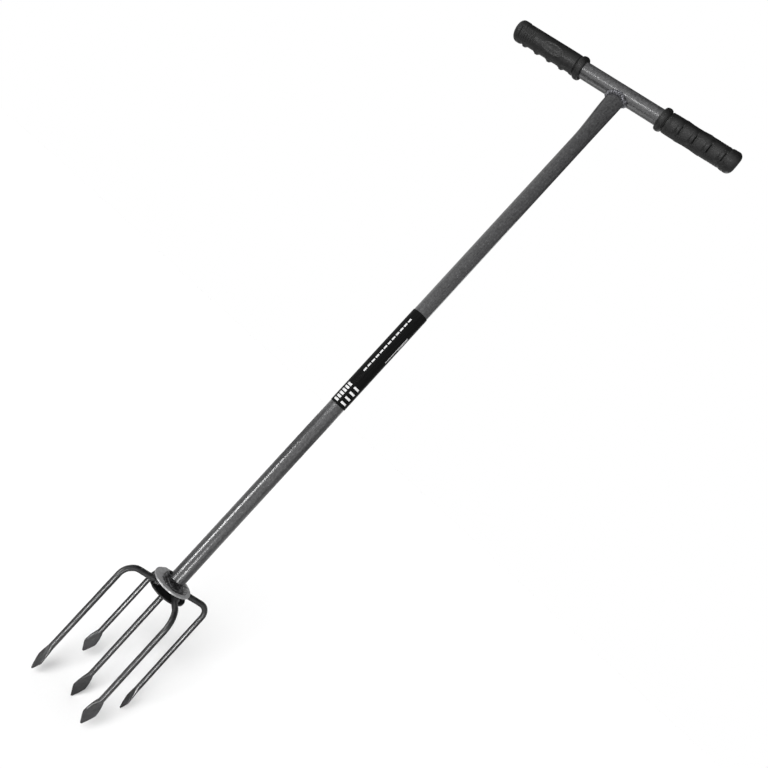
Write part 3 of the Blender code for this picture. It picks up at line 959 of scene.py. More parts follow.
@dataclass(frozen=True)
class GripShape:
    """Sizes of one moulded grip, measured from its outer end.

    The groove is placed from the end's swell, the slit from the collar, each crease from its
    ridge, and the rim by the share of the way from the panel's middle to its edge.
    """

    length: float = 106.2 * MM
    bore: float = 10.3 * MM
    mouth: Pair = (0.2 * MM, 0.6 * MM)
    body: float = 12.6 * MM
    end_wall: float = 4.5 * MM
    end_swell: float = 0.5 * MM
    end_length: float = 15.0 * MM
    end_fade: float = 1.5 * MM
    end_round: float = 7.0 * MM
    dimple: tuple[Pair, ...] = (
        (0.5 * MM, 0.0), (0.5 * MM, 2.4 * MM), (0.1 * MM, 3.0 * MM))
    groove: Hump = Hump(0.6 * MM, 1.2 * MM, 0.45 * MM)
    neck_draw: float = 0.2 * MM
    neck_length: float = 8.0 * MM
    neck_fade: float = 6.0 * MM
    slit: Hump = Hump(-1.0 * MM, 1.1 * MM, 0.95 * MM)
    collar_swell: float = 1.6 * MM
    collar_length: float = 9.0 * MM
    collar_root: float = 0.4 * MM
    ridges: int = 4
    ridge_pitch: float = 19.5 * MM
    ridge_rise: float = 0.9 * MM
    ridge_width: float = 10.5 * MM
    ridge_crown: float = 1.0 * MM
    hollow_depth: float = 1.1 * MM
    run_out: float = 4.0 * MM
    finger_angle: float = radians(62)
    crease: Hump = Hump(-2.4 * MM, 1.3 * MM, 1.5 * MM)
    crease_lobe: Pair = (0.25, 0.75)
    rib_start: float = 9.5 * MM
    rib_pitch: float = 3.6 * MM
    rib_count: int = 6
    rib_sink: float = 0.75 * MM
    rib_angle: float = radians(38)
    rib_fade: float = radians(10)
    panel_middle: float = 60.0 * MM
    panel_reach: float = 15.0 * MM
    panel_half_width: float = 5.6 * MM
    panel_lift: float = radians(9)
    panel_depth: float = 0.7 * MM
    panel_edge: float = 0.16
    panel_rim: Hump = Hump(1.12, 0.14, 0.35 * MM)
    step: float = 0.5 * MM
    end_steps: int = 16
    collar_steps: int = 20

    @property
    def collar_start(self) -> float:
        """Distance of the collar from the outer end."""
        return self.length - self.collar_length

    def radius(self, along: float) -> float:
        """Return the skin's radius between the rounded end and the collar.

        Args:
            along: Distance from the outer end.

        Returns:
            The radius before the finger hollows and ribs.
        """
        before = along - self.collar_start
        end = self.end_swell * ease((self.end_length - along) / self.end_fade)
        neck = self.neck_draw * ease((before + self.neck_length) / self.neck_fade)
        cuts = self.groove.at(along - self.end_length) + self.slit.at(before)
        return self.body + end - neck - cuts

    def outline(self) -> list[Pair]:
        """Trace the grip from the middle of its end, round its skin, to its bore.

        Returns:
            The outline, as (along, radius).
        """
        face = self.body + self.end_swell - self.end_round
        root = self.body - self.neck_draw - self.collar_root
        half = self.collar_length / 2
        points = list(self.dimple)
        points += arc((self.end_round, face), (self.end_round,) * 2, pi, pi / 2,
                      self.end_steps)
        count = round((self.collar_start - self.end_round) / self.step)
        points += [(along, self.radius(along))
                   for along in spaced(self.end_round, self.collar_start, count)[1:-1]]
        points += arc((self.collar_start + half, root),
                      (half, self.body + self.collar_swell - root), pi, 0,
                      self.collar_steps)
        points += [(self.length - self.mouth[0], self.bore + self.mouth[1]),
                   (self.length, self.bore), (self.end_wall, self.bore), (self.end_wall, 0.0)]
        return points

    def finger_relief(self, along: float, angle: float) -> float:
        """Return how far the finger side stands out or in.

        Args:
            along: Distance from the outer end.
            angle: Angle from the middle of the finger side.

        Returns:
            The relief in metres, with the creases beside the ridges.
        """
        start, end = self.end_length - self.run_out, self.collar_start - self.run_out
        if not start < along < end:
            return 0.0
        lobe = hump(angle, self.finger_angle)
        runs = ease((along - start) / self.run_out) * ease((end - along) / self.run_out)
        flank = self.ridge_width / 2 - self.ridge_crown
        relief, cut = -self.hollow_depth, 0.0
        for ridge in range(1, self.ridges + 1):
            off = along - ridge * self.ridge_pitch
            rise = ease(1 - (abs(off) - self.ridge_crown) / flank)
            relief += (self.hollow_depth + self.ridge_rise) * rise
            cut += self.crease.at(off)
        low, high = self.crease_lobe
        return (relief * lobe - cut * ease((lobe - low) / (high - low))) * runs

    def flank_relief(self, along: float, angle: float) -> float:
        """Return the relief of the flanks: sunk ribs and an empty oval panel.

        Args:
            along: Distance from the outer end.
            angle: Angle from the middle of the finger side.

        Returns:
            The relief in metres.
        """
        off = abs(angle) - pi / 2
        rib = (along - self.rib_start) / self.rib_pitch
        reach = hypot((along - self.panel_middle) / self.panel_reach,
                      (off - self.panel_lift) * self.body / self.panel_half_width)
        relief = self.panel_rim.at(reach)
        relief -= self.panel_depth * ease((1.0 - reach) / self.panel_edge)
        if 0 < rib < self.rib_count:
            edge = ease((self.rib_angle - abs(off)) / self.rib_fade)
            relief -= self.rib_sink * cos(pi * rib) ** 2 * edge
        return relief


@dataclass
class Handle(SubAssembly):
    """The T handle: bar, two grips and the bead that joins the bar to the shaft."""

    shaft: Shaft
    tube: TubeStock = TubeStock()
    bar_soft: float = 0.25 * MM
    bar_steps: int = 40
    left_shape: GripShape = GripShape()
    right_shape: GripShape = GripShape(rib_sink=0.25 * MM)
    left_turn: float = radians(38)
    right_turn: float = radians(-52)
    bore_skin: float = 0.3 * MM
    bead_radius: float = 3.3 * MM
    bead_length: float = 62 * MM
    bead_uneven: float = 0.10
    bead_uneven_mm: float = 7.0
    bead_rise: float = 0.15

    def build_bar(self) -> None:
        """Build the handle bar, whose ends stand inside the grips."""
        half, soft = self.seats.bar_half, self.bar_soft
        inner, outer = self.tube.radius - self.tube.wall, self.tube.radius
        outline = [(half, inner), (-half, inner), (-half, outer - soft)]
        outline += [(x, outer) for x in spaced(soft - half, half - soft, self.bar_steps)]
        bm = turned(outline + [(half, outer - soft)], X_AXIS)
        bmesh.ops.translate(bm, vec=(0, 0, self.seats.bar_level), verts=bm.verts)
        # The bar takes a lighter copy of the shaft's lacquer: painted light, which brightens the
        # bar.
        finish = TubeLacquer("lacquered tube, bar", Run.ALONG_BAR, dark="#323233",
                             light="#545455")
        self.add_piece("bar_body", bm, finish, "tube_steel", "handle_tube")

    def build_grip(self, hand: Hand, shape: GripShape, turn: float) -> None:
        """Build one grip.

        Args:
            hand: End of the bar that it is pushed on to.
            shape: Its sizes.
            turn: Angle of the finger side from straight down, positive towards +Y.
        """
        bm = turned(shape.outline(), X_AXIS, closed=False)
        for vert in bm.verts:
            radius = vert.co.yz.length
            if radius > shape.bore + self.bore_skin:
                angle = wrap_angle(-Vector((0, -1)).angle_signed(vert.co.yz) - turn)
                relief = shape.finger_relief(vert.co.x, angle)
                relief += shape.flank_relief(vert.co.x, angle)
                vert.co.yz *= 1 + relief / radius
        place = shift(hand.value * self.seats.grip_end, 0, self.seats.bar_level)
        bmesh.ops.transform(bm, matrix=place @ stretch(-hand.value, 1), verts=bm.verts)
        self.add_piece(hand.word + "_grip_body", bm, GripRubber("moulded black rubber"),
                       "grip_rubber", hand.word + "_grip", sharp=60.0)

    def bead_path(self, share: float) -> BeadPoint:
        """Follow the seam between the shaft's end and the bar.

        Args:
            share: Share of the way round, from 0 to 1.

        Returns:
            The bead's place, outward side, width and height.
        """
        half_width, half_depth, aside = self.shaft.ring_sizes(self.seats.bar_level)
        angle = 2 * pi * share
        y = half_depth * sin(angle)
        level = self.seats.bar_level - self.tube.radius * cos(asin(y / self.tube.radius))
        point = Vector((self.seats.axis_x + aside + half_width * cos(angle), y, level))
        uneven = self.bead_uneven * noise.noise(point * per_metre(self.bead_uneven_mm))
        size = self.bead_radius * (1 + uneven)
        return point, Vector((cos(angle), sin(angle), self.bead_rise)), size, size

    def build_bead(self) -> None:
        """Build the bead between the shaft's end and the bar."""
        bm = Ripple().lay(self.bead_path, self.bead_length, True)
        # The handle's bead takes a lighter copy of the head's weld finish: painted light, for
        # brighter glints.
        finish = WeldMetal("weld bead, handle", dark="#2e2e30", light="#84848a")
        self.add_piece("handle_bead", bm, finish, "weld_metal", "handle_weld", sharp=70.0)

    def build(self) -> None:
        """Build the handle's pieces."""
        self.build_bar()
        self.build_grip(Hand.LEFT, self.left_shape, self.left_turn)
        self.build_grip(Hand.RIGHT, self.right_shape, self.right_turn)
        self.build_bead()


@dataclass(frozen=True)
class BladeShape:
    """A forged blade, from the rod down to its point.

    A station is a height, as a share of the length, with the shares of the way from the rod's
    round to the full width and to the full thinness there.
    """

    length: float = 29.5 * MM
    width: float = 15.4 * MM
    thickness: float = 2.6 * MM
    tip_width: float = 2.0 * MM
    tip_thickness: float = 1.2 * MM
    corner: float = 0.02
    steps: int = 60
    stations: tuple[Triple, ...] = (
        (1.06, 0.00, 0.00), (1.00, 0.02, 0.04), (0.92, 0.29, 0.50), (0.81, 0.52, 0.78),
        (0.71, 0.71, 0.92), (0.61, 0.84, 0.98), (0.51, 0.94, 1.00), (0.43, 1.00, 1.00),
        (0.34, 0.76, 1.00), (0.17, 0.12, 1.00),
    )

    @property
    def top(self) -> float:
        """Share of the length at which the blade starts."""
        return self.stations[0][0]

    def halves(self, share: float, rod: float) -> Pair:
        """Return the blade's half width and half thickness, its corners eased.

        Args:
            share: Height above the point, as a share of the blade's length.
            rod: Radius of the rod.

        Returns:
            Half width and half thickness.
        """
        rows = [(h, rod + (self.width / 2 - rod) * w, rod + (self.thickness / 2 - rod) * t)
                for h, w, t in self.stations]
        rows.append((0.0, self.tip_width / 2, self.tip_thickness / 2))
        near = [self.between(rows, share + self.corner * k / 2) for k in range(-2, 3)]
        return sum(w for w, _ in near) / len(near), sum(t for _, t in near) / len(near)

    @staticmethod
    def between(rows: Sequence[Triple], share: float) -> Pair:
        """Return the half width and half thickness on the straight line between two rows.

        Args:
            rows: Heights, half widths and half thicknesses, from the top down.
            share: Height to look up.

        Returns:
            Half width and half thickness.
        """
        for high, low in zip(rows, rows[1:]):
            if share >= low[0]:
                step = max(min((high[0] - share) / (high[0] - low[0]), 1.0), 0.0)
                return high[1] + (low[1] - high[1]) * step, high[2] + (low[2] - high[2]) * step
        return rows[-1][1:]


@dataclass(frozen=True)
class Leg:
    """The straight lower part of a rod, before it is turned into its corner."""

    axis: Pair
    start: float
    point: float
    twist: float

    @property
    def turn(self) -> Matrix:
        """Turn of the blade's width from +Y."""
        return Matrix.Rotation(self.twist, 4, "Z")


@dataclass(frozen=True)
class Fillet:
    """Sizes of a hand-laid fillet weld round an upright rod or tube."""

    inner: float
    width: float
    height: float
    lumps: float
    least: float = 0.2 * MM
    lean: float = 0.0
    lean_side: float = radians(-25)
    climb: float = 0.0
    climb_side: float = radians(-150)
    climb_angle: float = radians(36)
    coil_rise: float = 0.35
    coil_pitch: float = 2.6 * MM
    coil_turns: int = 5
    lump_scale: float = 2.6
    level_scale: float = 120.0
    lump_layers: tuple[Pair, ...] = ((1.0, 1.0), (0.6, 2.3), (0.4, 5.0))
    steps: int = 24

    def lift(self, angle: float) -> float:
        """Return how many times higher the bead stands at an angle round the rod."""
        off = wrap_angle(angle - self.climb_side)
        return 1 + self.climb / abs(self.height) * hump(off, self.climb_angle)

    def reach(self, radius: float, angle: float, level: float) -> float:
        """Return the radius of the bead's lumpy skin.

        Args:
            radius: Radius of the plain fillet.
            angle: Angle round the rod.
            level: Height above the plate.

        Returns:
            The radius, never inside the rod.
        """
        place = Vector((cos(angle), sin(angle), level * self.level_scale)) * self.lump_scale
        lump = sum(size * noise.noise(place * finer) for size, finer in self.lump_layers)
        wave = 2 * pi * level / self.coil_pitch + self.coil_turns * angle
        spread = 1 + self.lean / self.width * cos(angle - self.lean_side)
        bump = self.lumps * (lump + self.coil_rise * sin(wave))
        return self.inner + max((radius - self.inner) * spread + bump, self.least)


@dataclass
class TineHead(SubAssembly):
    """The working end: two plates, four bent tines, the centre spike and their welds."""

    rod: float = 3.4 * MM
    gap: float = 0.3 * MM
    reach: float = 57.4 * MM
    bends: dict[Corner, float] = field(default_factory=lambda: {
        Corner.REAR_RIGHT: 13 * MM, Corner.REAR_LEFT: 34 * MM,
        Corner.FRONT_LEFT: 15 * MM, Corner.FRONT_RIGHT: 17 * MM})
    twists: dict[Corner, float] = field(default_factory=lambda: {
        Corner.FRONT_LEFT: radians(16)})
    spike_twist: float = radians(6)
    turn: float = radians(40.2)
    arm_steps: int = 8
    bend_steps: int = 24
    leg_step: float = 6 * MM
    sides: int = 32
    dent_depth: float = 0.12 * MM
    dent_mm: float = 5.0
    seed_way: Triple = (1.0, 1.7, 0.6)
    spike_seed: float = 9.0
    blade: BladeShape = BladeShape()
    upper_plate: float = 24.8 * MM
    lower_plate: float = 24.0 * MM
    plate_roll: float = 0.4 * MM
    plate_burr: Pair = (0.2 * MM, 0.25 * MM)
    plate_ring: float = 0.6
    plate_chatter: float = 0.18 * MM
    chatter_scale: float = 9.0
    roll_steps: int = 6
    foot: Fillet = Fillet(10.0 * MM, 6.8 * MM, 6.0 * MM, 1.4 * MM, lean=1.8 * MM, climb=3.6 * MM)
    spike_foot: Fillet = Fillet(3.4 * MM, 2.8 * MM, -3.0 * MM, 0.4 * MM)
    arm_bead: Triple = (9.0 * MM, 2.7 * MM, 3.5 * MM)
    arm_bead_inset: float = 1.5 * MM
    arm_bead_stand: float = 0.3 * MM
    arm_bead_bluntness: int = 4
    arm_bead_least: float = 0.02
    arm_bead_droop: float = 0.4
    arm_ripple: Ripple = Ripple(pitch=2.0 * MM, rise=0.12, lean=0.3)
    spatter_seed: int = 11
    plate_drops: int = 18
    plate_drop_reach: Pair = (16.0 * MM, 22.5 * MM)
    plate_drop_size: Pair = (0.25 * MM, 0.6 * MM)
    plate_drop_height: float = 0.7
    shaft_drops: int = 12
    shaft_drop_size: Pair = (0.25 * MM, 0.5 * MM)
    shaft_drop_rise: Pair = (6.0 * MM, 22.0 * MM)
    paint: Finish = ForgedPaint("painted forged rod")
    weld: Finish = WeldMetal("weld bead, head")

    @property
    def arm_level(self) -> float:
        """Height of the arms' axes, midway between the plates."""
        return (self.seats.lower_top + self.seats.upper_base) / 2

    @property
    def lane(self) -> float:
        """Distance of each arm's axis from the line through the tool's axis."""
        return self.rod + self.gap / 2

    def corner_place(self, corner: Corner) -> Matrix:
        """Return the matrix that turns a tine drawn along +X into its corner."""
        turn = Matrix.Rotation(self.turn + corner.value * pi / 2, 4, "Z")
        return shift(self.seats.axis_x, 0, 0) @ turn

    def build_plate(self, name: str, node: str, finish: Finish, radius: float) -> None:
        """Build one punched plate with a rolled upper edge and a slight burr below.

        Args:
            name: Name of the piece.
            node: CAD node that it stands for.
            finish: Its finish.
            radius: Radius of the plate.
        """
        low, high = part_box(node)
        roll, thick, (burr, cut) = self.plate_roll, high.z - low.z, self.plate_burr
        inside = radius - 3 * roll
        outline = [(0.0, 0.0), (0.0, inside), (0.0, radius - cut), (burr, radius)]
        outline += arc((thick - roll, radius - roll), (roll, roll), pi / 2, 0, self.roll_steps)
        outline += [(thick, inside), (thick, radius * self.plate_ring), (thick, 0.0)]
        bm = turned(outline, Z_AXIS, closed=False)
        for vert in bm.verts:
            reach = vert.co.xy.length
            if reach > radius - 2 * roll:
                bite = noise.noise(vert.co.normalized() * self.chatter_scale)
                vert.co.xy *= 1 + self.plate_chatter * bite / reach
        bmesh.ops.translate(bm, vec=((low.x + high.x) / 2, 0, low.z), verts=bm.verts)
        self.add_piece(name, bm, finish, "disc_steel", node)

    def leg_places(self, leg: Leg) -> list[Matrix]:
        """Return the ring places from the leg's start down to its point.

        Args:
            leg: The leg.

        Returns:
            Matrices of unit rings.
        """
        blade = self.blade
        top = leg.point + blade.length * blade.top
        count = max(round((leg.start - top) / self.leg_step), 1)
        places = [shift(*leg.axis, level) @ stretch(self.rod, self.rod)
                  for level in spaced(leg.start, top, count)[1:-1]]
        for share in spaced(blade.top, 0.0, blade.steps):
            spread = stretch(self.rod, blade.halves(share, self.rod)[0])
            places.append(shift(*leg.axis, leg.point + blade.length * share)
                          @ leg.turn @ spread @ leg.turn.inverted())
        return places

    def forge(self, places: Sequence[Matrix], leg: Leg, seed: float) -> BMesh:
        """Forge a rod: draw it through its places, hammer its blade flat and dent it.

        Args:
            places: Places of the rod's rings.
            leg: Its leg.
            seed: Offset that makes this rod's dents its own.

        Returns:
            The rod's mesh, not yet turned into its corner.
        """
        bm, _ = grow_through(places, self.sides, True)
        turn = shift(*leg.axis, 0) @ leg.turn
        for vert in bm.verts:
            share = (vert.co.z - leg.point) / self.blade.length
            if share < self.blade.top:
                _, flat = self.blade.halves(max(share, 0.0), self.rod)
                across = turn.inverted() @ vert.co
                side = min(abs(across.x) / self.rod, 1.0)
                depth = flat * (1 - (1 - side) ** (self.rod / flat))
                across.x = depth if across.x > 0 else -depth
                vert.co = turn @ across
        bm.normal_update()
        offset = Vector(self.seed_way) * seed
        dents = [noise.noise(vert.co * per_metre(self.dent_mm) + offset) for vert in bm.verts]
        moves = [vert.normal * self.dent_depth * dent for vert, dent in zip(bm.verts, dents)]
        for vert, move in zip(bm.verts, moves):
            vert.co += move
        return bm

    def build_tine(self, corner: Corner) -> None:
        """Build one bent tine: arm between the plates, bend, leg and blade.

        Args:
            corner: Corner that the tine stands in.
        """
        node, bend, level = corner.word + "_tine", self.bends[corner], self.arm_level
        leg = Leg((self.reach, self.lane), level - bend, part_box(node)[0].z,
                  self.twists.get(corner, 0.0))
        across = Matrix.Rotation(pi / 2, 4, "Y") @ stretch(self.rod, self.rod)
        places = [shift(x, self.lane, level) @ across
                  for x in spaced(self.gap / 2, self.reach - bend, self.arm_steps)]
        centre = shift(self.reach - bend, self.lane, level - bend)
        places += [centre @ Matrix.Rotation(angle, 4, "Y") @ centre.inverted() @ places[-1]
                   for angle in spaced(0, pi / 2, self.bend_steps)[1:]]
        half_turn = Matrix.Rotation(pi, 4, "Y")
        places += [place @ half_turn for place in self.leg_places(leg)]
        bm = self.forge(places, leg, corner.value + 1.0)
        bmesh.ops.transform(bm, matrix=self.corner_place(corner), verts=bm.verts)
        self.add_piece(corner.word + "_rod", bm, self.paint, "forged_steel", node, sharp=55.0)

    def build_spike(self) -> None:
        """Build the centre spike under the lower plate, its point on the floor."""
        top = self.seats.lower_base - self.gap
        leg = Leg((0.0, 0.0), top, 0.0, self.spike_twist)
        places = [shift(0, 0, top) @ stretch(self.rod, self.rod)] + self.leg_places(leg)
        bm = self.forge(places, leg, self.spike_seed)
        low = min(vert.co.z for vert in bm.verts)
        place = shift(self.seats.axis_x, 0, -low) @ Matrix.Rotation(self.turn - pi / 2, 4, "Z")
        bmesh.ops.transform(bm, matrix=place, verts=bm.verts)
        self.add_piece("spike_rod", bm, self.paint, "forged_steel", "centre_spike", sharp=55.0)

    def build_fillet(self, name: str, node: str, fillet: Fillet, base: float) -> None:
        """Build a lumpy fillet weld round an upright rod or tube.

        Args:
            name: Name of the piece.
            node: CAD node that it stands for.
            fillet: Its sizes.
            base: Level of the plate's face.
        """
        corner = (0.0, fillet.inner)
        skin = arc(corner, (fillet.height, fillet.width), 0, pi / 2, fillet.steps)
        bm = turned([corner] + skin, Z_AXIS)
        for vert in bm.verts:
            angle, radius = atan2(vert.co.y, vert.co.x), vert.co.xy.length
            vert.co.z *= fillet.lift(angle)
            if radius > fillet.inner + fillet.least:
                vert.co.xy *= fillet.reach(radius, angle, vert.co.z) / radius
        bmesh.ops.translate(bm, vec=(self.seats.axis_x, 0, base), verts=bm.verts)
        self.add_piece(name, bm, self.weld, "weld_metal", node, sharp=70.0)

    def arm_bead_path(self, share: float) -> BeadPoint:
        """Follow the open flank of an arm drawn along +X.

        Args:
            share: Share of the bead's length, from 0 to 1.

        Returns:
            The bead's place, outward side, width and height.
        """
        length, width, height = self.arm_bead
        off = abs(2 * min(max(share, 0.0), 1.0) - 1)
        ends = sqrt(max(1 - off**self.arm_bead_bluntness, self.arm_bead_least))
        start = self.lower_plate - self.arm_bead_inset - length
        flank = 2 * self.rod + self.gap + self.arm_bead_stand
        point = Vector((start + length * share, flank, self.arm_level))
        high = height * (1 - self.arm_bead_droop * (1 - ends))
        return point, Vector((0, 1, 0)), width * ends, high

    def build_arm_bead(self, corner: Corner) -> None:
        """Build the short bead along one arm's open flank, between the plates.

        Args:
            corner: Corner of the tine that the bead holds.
        """
        bm = self.arm_ripple.lay(self.arm_bead_path, self.arm_bead[0], False)
        bmesh.ops.transform(bm, matrix=self.corner_place(corner), verts=bm.verts)
        self.add_piece(corner.word + "_arm_bead", bm, self.weld, "weld_metal",
                       corner.word + "_arm_weld", sharp=70.0)

    def legs(self) -> list[Vector]:
        """Return the places on the floor under the tines' legs and the spike.

        Returns:
            The four legs' places, then the spike's.
        """
        spots = [self.corner_place(corner) @ Vector((self.reach, self.lane, 0))
                 for corner in Corner]
        return spots + [Vector((self.seats.axis_x, 0, 0))]

    def build_spatter(self, finish: Finish) -> None:
        """Build the droplets that welding threw on to the upper plate and the shaft's foot.

        Args:
            finish: Finish of the plate, which covers the droplets too.
        """
        dice = Random(self.spatter_seed)
        bm = bmesh.new()
        top, drops = self.seats.upper_top, []
        for _ in range(self.plate_drops):
            angle, reach = dice.uniform(-pi, pi), dice.uniform(*self.plate_drop_reach)
            size = dice.uniform(*self.plate_drop_size)
            drops.append((angle, reach, size, top, self.plate_drop_height))
        for _ in range(self.shaft_drops):
            angle, size = dice.uniform(-pi, pi), dice.uniform(*self.shaft_drop_size)
            level = top + dice.uniform(*self.shaft_drop_rise)
            drops.append((angle, self.foot.inner, size, level, 1.0))
        for angle, reach, size, level, flat in drops:
            place = shift(self.seats.axis_x + reach * cos(angle), reach * sin(angle), level)
            bmesh.ops.create_icosphere(bm, subdivisions=1, radius=size,
                                       matrix=place @ stretch(1, 1, flat))
        self.add_piece("weld_spatter", bm, finish, "weld_metal")

    def build(self) -> None:
        """Build the head's pieces."""
        seats = self.seats
        bright = PlateLacquer("lacquered plate", seats.axis_x)
        # The lower plate takes a nearly black copy of the plate lacquer: painted shade for the
        # narrow gap between the plates.
        shaded = PlateLacquer("shaded plate", seats.axis_x, dark="#101011", light="#202021")
        self.build_plate("upper_plate", "upper_disc", bright, self.upper_plate)
        self.build_plate("lower_plate", "lower_disc", shaded, self.lower_plate)
        for corner in Corner:
            self.build_tine(corner)
            self.build_arm_bead(corner)
        self.build_spike()
        self.build_fillet("foot_bead", "shaft_foot_weld", self.foot, seats.upper_top)
        self.build_fillet("spike_bead", "spike_weld", self.spike_foot, seats.lower_base)
        self.build_spatter(bright)


def hang_lamp(name: str, kind: str, place: Vector, aim: Vector, **settings: Any) -> Object:
    """Hang a lamp.

    Args:
        name: Name of the lamp.
        kind: Blender's type of it.
        place: Where it hangs.
        aim: Point that it shines at.
        **settings: Properties of the lamp itself.

    Returns:
        The lamp's object.
    """
    lamp = bpy.data.lights.new(name, kind)
    for key, value in settings.items():
        setattr(lamp, key, value)
    light = add_object(name, lamp)
    light.location = place
    light.rotation_euler = (aim - place).to_track_quat("-Z", "Y").to_euler()
    return light


@dataclass(frozen=True)
class SoftBox:
    """A rectangular strip or box of light that the gloss mirrors.

    The spread is how wide its light opens; a narrow one reaches only what lies before it.
    """

    name: str
    place: Sequence[float]
    aim: Sequence[float]
    width: float
    height: float
    brightness: float
    spread: float = radians(90)

    def hang(self) -> None:
        """Hang the light where only the gloss sees it."""
        power = self.brightness * pi * self.width * self.height
        light = hang_lamp(self.name, "AREA", Vector(self.place), Vector(self.aim),
                          shape="RECTANGLE", size=self.width, size_y=self.height,
                          energy=power, spread=self.spread)
        light.visible_camera = light.visible_diffuse = False


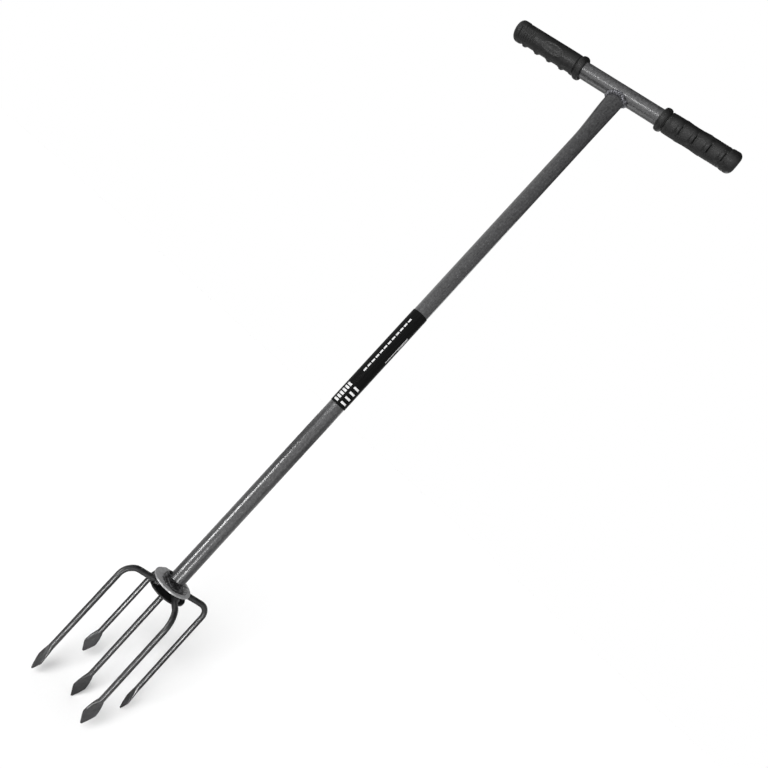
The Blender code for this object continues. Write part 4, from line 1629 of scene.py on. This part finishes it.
@dataclass
class Studio:
    """Pale floor, soft light and the camera."""

    legs: Sequence[Vector]
    eye: Triple = (0.20175, -0.67493, 0.43698)
    right: Triple = (0.72803, 0.13556, 0.67201)
    down: Triple = (0.63798, 0.22478, -0.73651)
    ahead: Triple = (-0.25089, 0.96493, 0.07716)
    lens: float = 28.142
    sensor: float = 36.0
    clip: Pair = (0.02, 200.0)
    floor_half: float = 30.0
    floor_drop: float = 0.2 * MM
    glow_sheet_lift: float = 0.5 * MM
    glow_sheet_reach: float = 15.0
    glow_sheet_set_back: float = 60 * MM
    glow_sheet_opening: float = radians(55)
    glow_sheet_steps: int = 40
    room_glow: float = 0.54
    gloss_level: float = 1.14
    gloss_clip: Triple = (-9.0, 0.0, 0.0)  # only y and z count from 0 up
    gloss_tilt: Triple = (-0.20, -0.55, -1.3)
    gloss_least: float = 0.05
    front: float = radians(17)
    key_strength: float = 4.3
    key_azimuth: float = radians(4)
    key_elevation: float = radians(28)
    key_angle: float = radians(20)
    leg_strip_gap: float = 50 * MM
    leg_strip_lift: float = 12 * MM
    leg_strip: Triple = (5 * MM, 110 * MM, 24.0)
    boxes: tuple[SoftBox, ...] = (
        SoftBox("left_strip", (-0.23, -0.40, 0.15), (0.0, 0.0, 0.25), 0.045, 0.28, 7.8),
        SoftBox("right_strip", (0.21, -0.31, 0.045), (0.0, 0.0, 0.15), 0.04, 0.09, 5.6),
        SoftBox("bar_strip", (-0.28, -1.0, 0.50), (0.0, 0.0, 0.95), 0.85, 0.05, 4.6),
        SoftBox("ridge_light", (-0.55, -0.45, 0.70), (0.12, 0.0, 0.95), 0.25, 0.25, 0.15,
                radians(30)),
        SoftBox("bar_fill", (-0.13, 0.28, 0.36), (0.0, 0.0, 0.95), 0.19, 0.5, 0.16,
                radians(70)),
        SoftBox("rear_box", (0.5, 1.5, 0.9), (0.0, 0.0, 0.5), 0.5, 1.0, 1.4, pi),
    )

    def lay_floor(self) -> None:
        """Lay the paper floor under the tool's lowest point."""
        bm = bmesh.new()
        bmesh.ops.create_grid(bm, x_segments=1, y_segments=1, size=self.floor_half,
                              matrix=shift(0, 0, -self.floor_drop))
        add_mesh("paper_floor", bm, StudioPaper("white background paper"))

    def lay_glow_sheet(self) -> None:
        """Lay the glowing grey sheet on the paper that only the gloss sees, open towards the
        camera.
        """
        apex = Vector((-sin(self.front), cos(self.front), 0)) * self.glow_sheet_set_back
        apex.z = self.glow_sheet_lift
        start, end = self.glow_sheet_opening, 2 * pi - self.glow_sheet_opening
        bm = bmesh.new()
        middle = bm.verts.new(apex)
        rim = [bm.verts.new(apex + Vector((sin(angle), -cos(angle), 0)) * self.glow_sheet_reach)
               for angle in spaced(self.front + start, self.front + end, self.glow_sheet_steps)]
        for pair in zip(rim, rim[1:]):
            bm.faces.new((middle, *pair))
        bmesh.ops.recalc_face_normals(bm, faces=bm.faces)
        glow_sheet = add_mesh("grey_glow_sheet", bm, GreyGlowSheet("grey glow_sheet"))
        glow_sheet.visible_camera = glow_sheet.visible_diffuse = glow_sheet.visible_shadow = False

    def light_room(self) -> None:
        """Light the room: white to the eye, and in the gloss dimmer above, behind and right."""
        world = bpy.data.worlds.new("studio room")
        world.use_nodes = True
        desk = NodeDesk(world.node_tree)
        rays = desk.add("LightPath").outputs
        towards = desk.add("TexCoord").outputs["Generated"]
        forward = desk.add("VectorMath", {0: towards, 1: self.gloss_clip},
                           operation="MAXIMUM")
        tilt = desk.add("VectorMath", {0: forward, 1: self.gloss_tilt},
                        operation="DOT_PRODUCT")
        dimmed = desk.add("Math", {0: tilt, 1: self.gloss_level}, operation="ADD")
        gloss = desk.add("Math", {0: dimmed, 1: self.gloss_least}, operation="MAXIMUM")
        room = desk.add("MapRange", {0: rays["Is Camera Ray"], 3: self.room_glow, 4: 1.0})
        level = desk.add("Mix", {0: rays["Is Glossy Ray"], 2: room, 3: gloss})
        desk.fill(desk.tree.nodes["Background"],
                  {"Color": (1.0, 1.0, 1.0, 1.0), "Strength": level})
        bpy.context.scene.world = world

    def hang_lights(self) -> None:
        """Hang the boxes, a thin strip before each leg for its bright line, and the key."""
        width, height, brightness = self.leg_strip
        before = Vector((sin(self.front), -cos(self.front), 0)) * self.leg_strip_gap
        strips = []
        for number, leg in enumerate(self.legs):
            middle = leg + Vector((0, 0, height / 2 + self.leg_strip_lift))
            strips.append(SoftBox(f"leg_strip_{number}", middle + before, middle, width,
                                  height, brightness))
        for box in (*self.boxes, *strips):
            box.hang()
        flat, azimuth = cos(self.key_elevation), self.key_azimuth
        source = Vector((sin(azimuth) * flat, -cos(azimuth) * flat, sin(self.key_elevation)))
        key = hang_lamp("key", "SUN", Vector(), -source, energy=self.key_strength,
                        angle=self.key_angle)
        key.visible_glossy = False

    def set_camera(self) -> None:
        """Set the camera where the photograph was taken from."""
        lens = bpy.data.cameras.new("photo_camera")
        lens.lens, lens.sensor_width = self.lens, self.sensor
        lens.clip_start, lens.clip_end = self.clip
        camera = add_object("photo_camera", lens)
        axes = (Vector(self.right), -Vector(self.down), -Vector(self.ahead))
        camera.matrix_world = shift(*self.eye) @ Matrix(axes).transposed().to_4x4()
        bpy.context.scene.camera = camera
        bpy.context.scene.view_settings.view_transform = "Standard"

    def build(self) -> None:
        """Set up the floor, the lights and the camera."""
        self.lay_floor()
        self.lay_glow_sheet()
        self.light_room()
        self.hang_lights()
        self.set_camera()


def main() -> None:
    """Build the tool and the studio."""
    logging.basicConfig(level=logging.INFO, format="%(name)s: %(message)s")
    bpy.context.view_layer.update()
    seats = Seats.from_frame()
    shaft = Shaft(seats)
    shaft.build()
    Handle(seats, shaft).build()
    head = TineHead(seats)
    head.build()
    Studio(head.legs()).build()


if __name__ == "__main__":
    main()
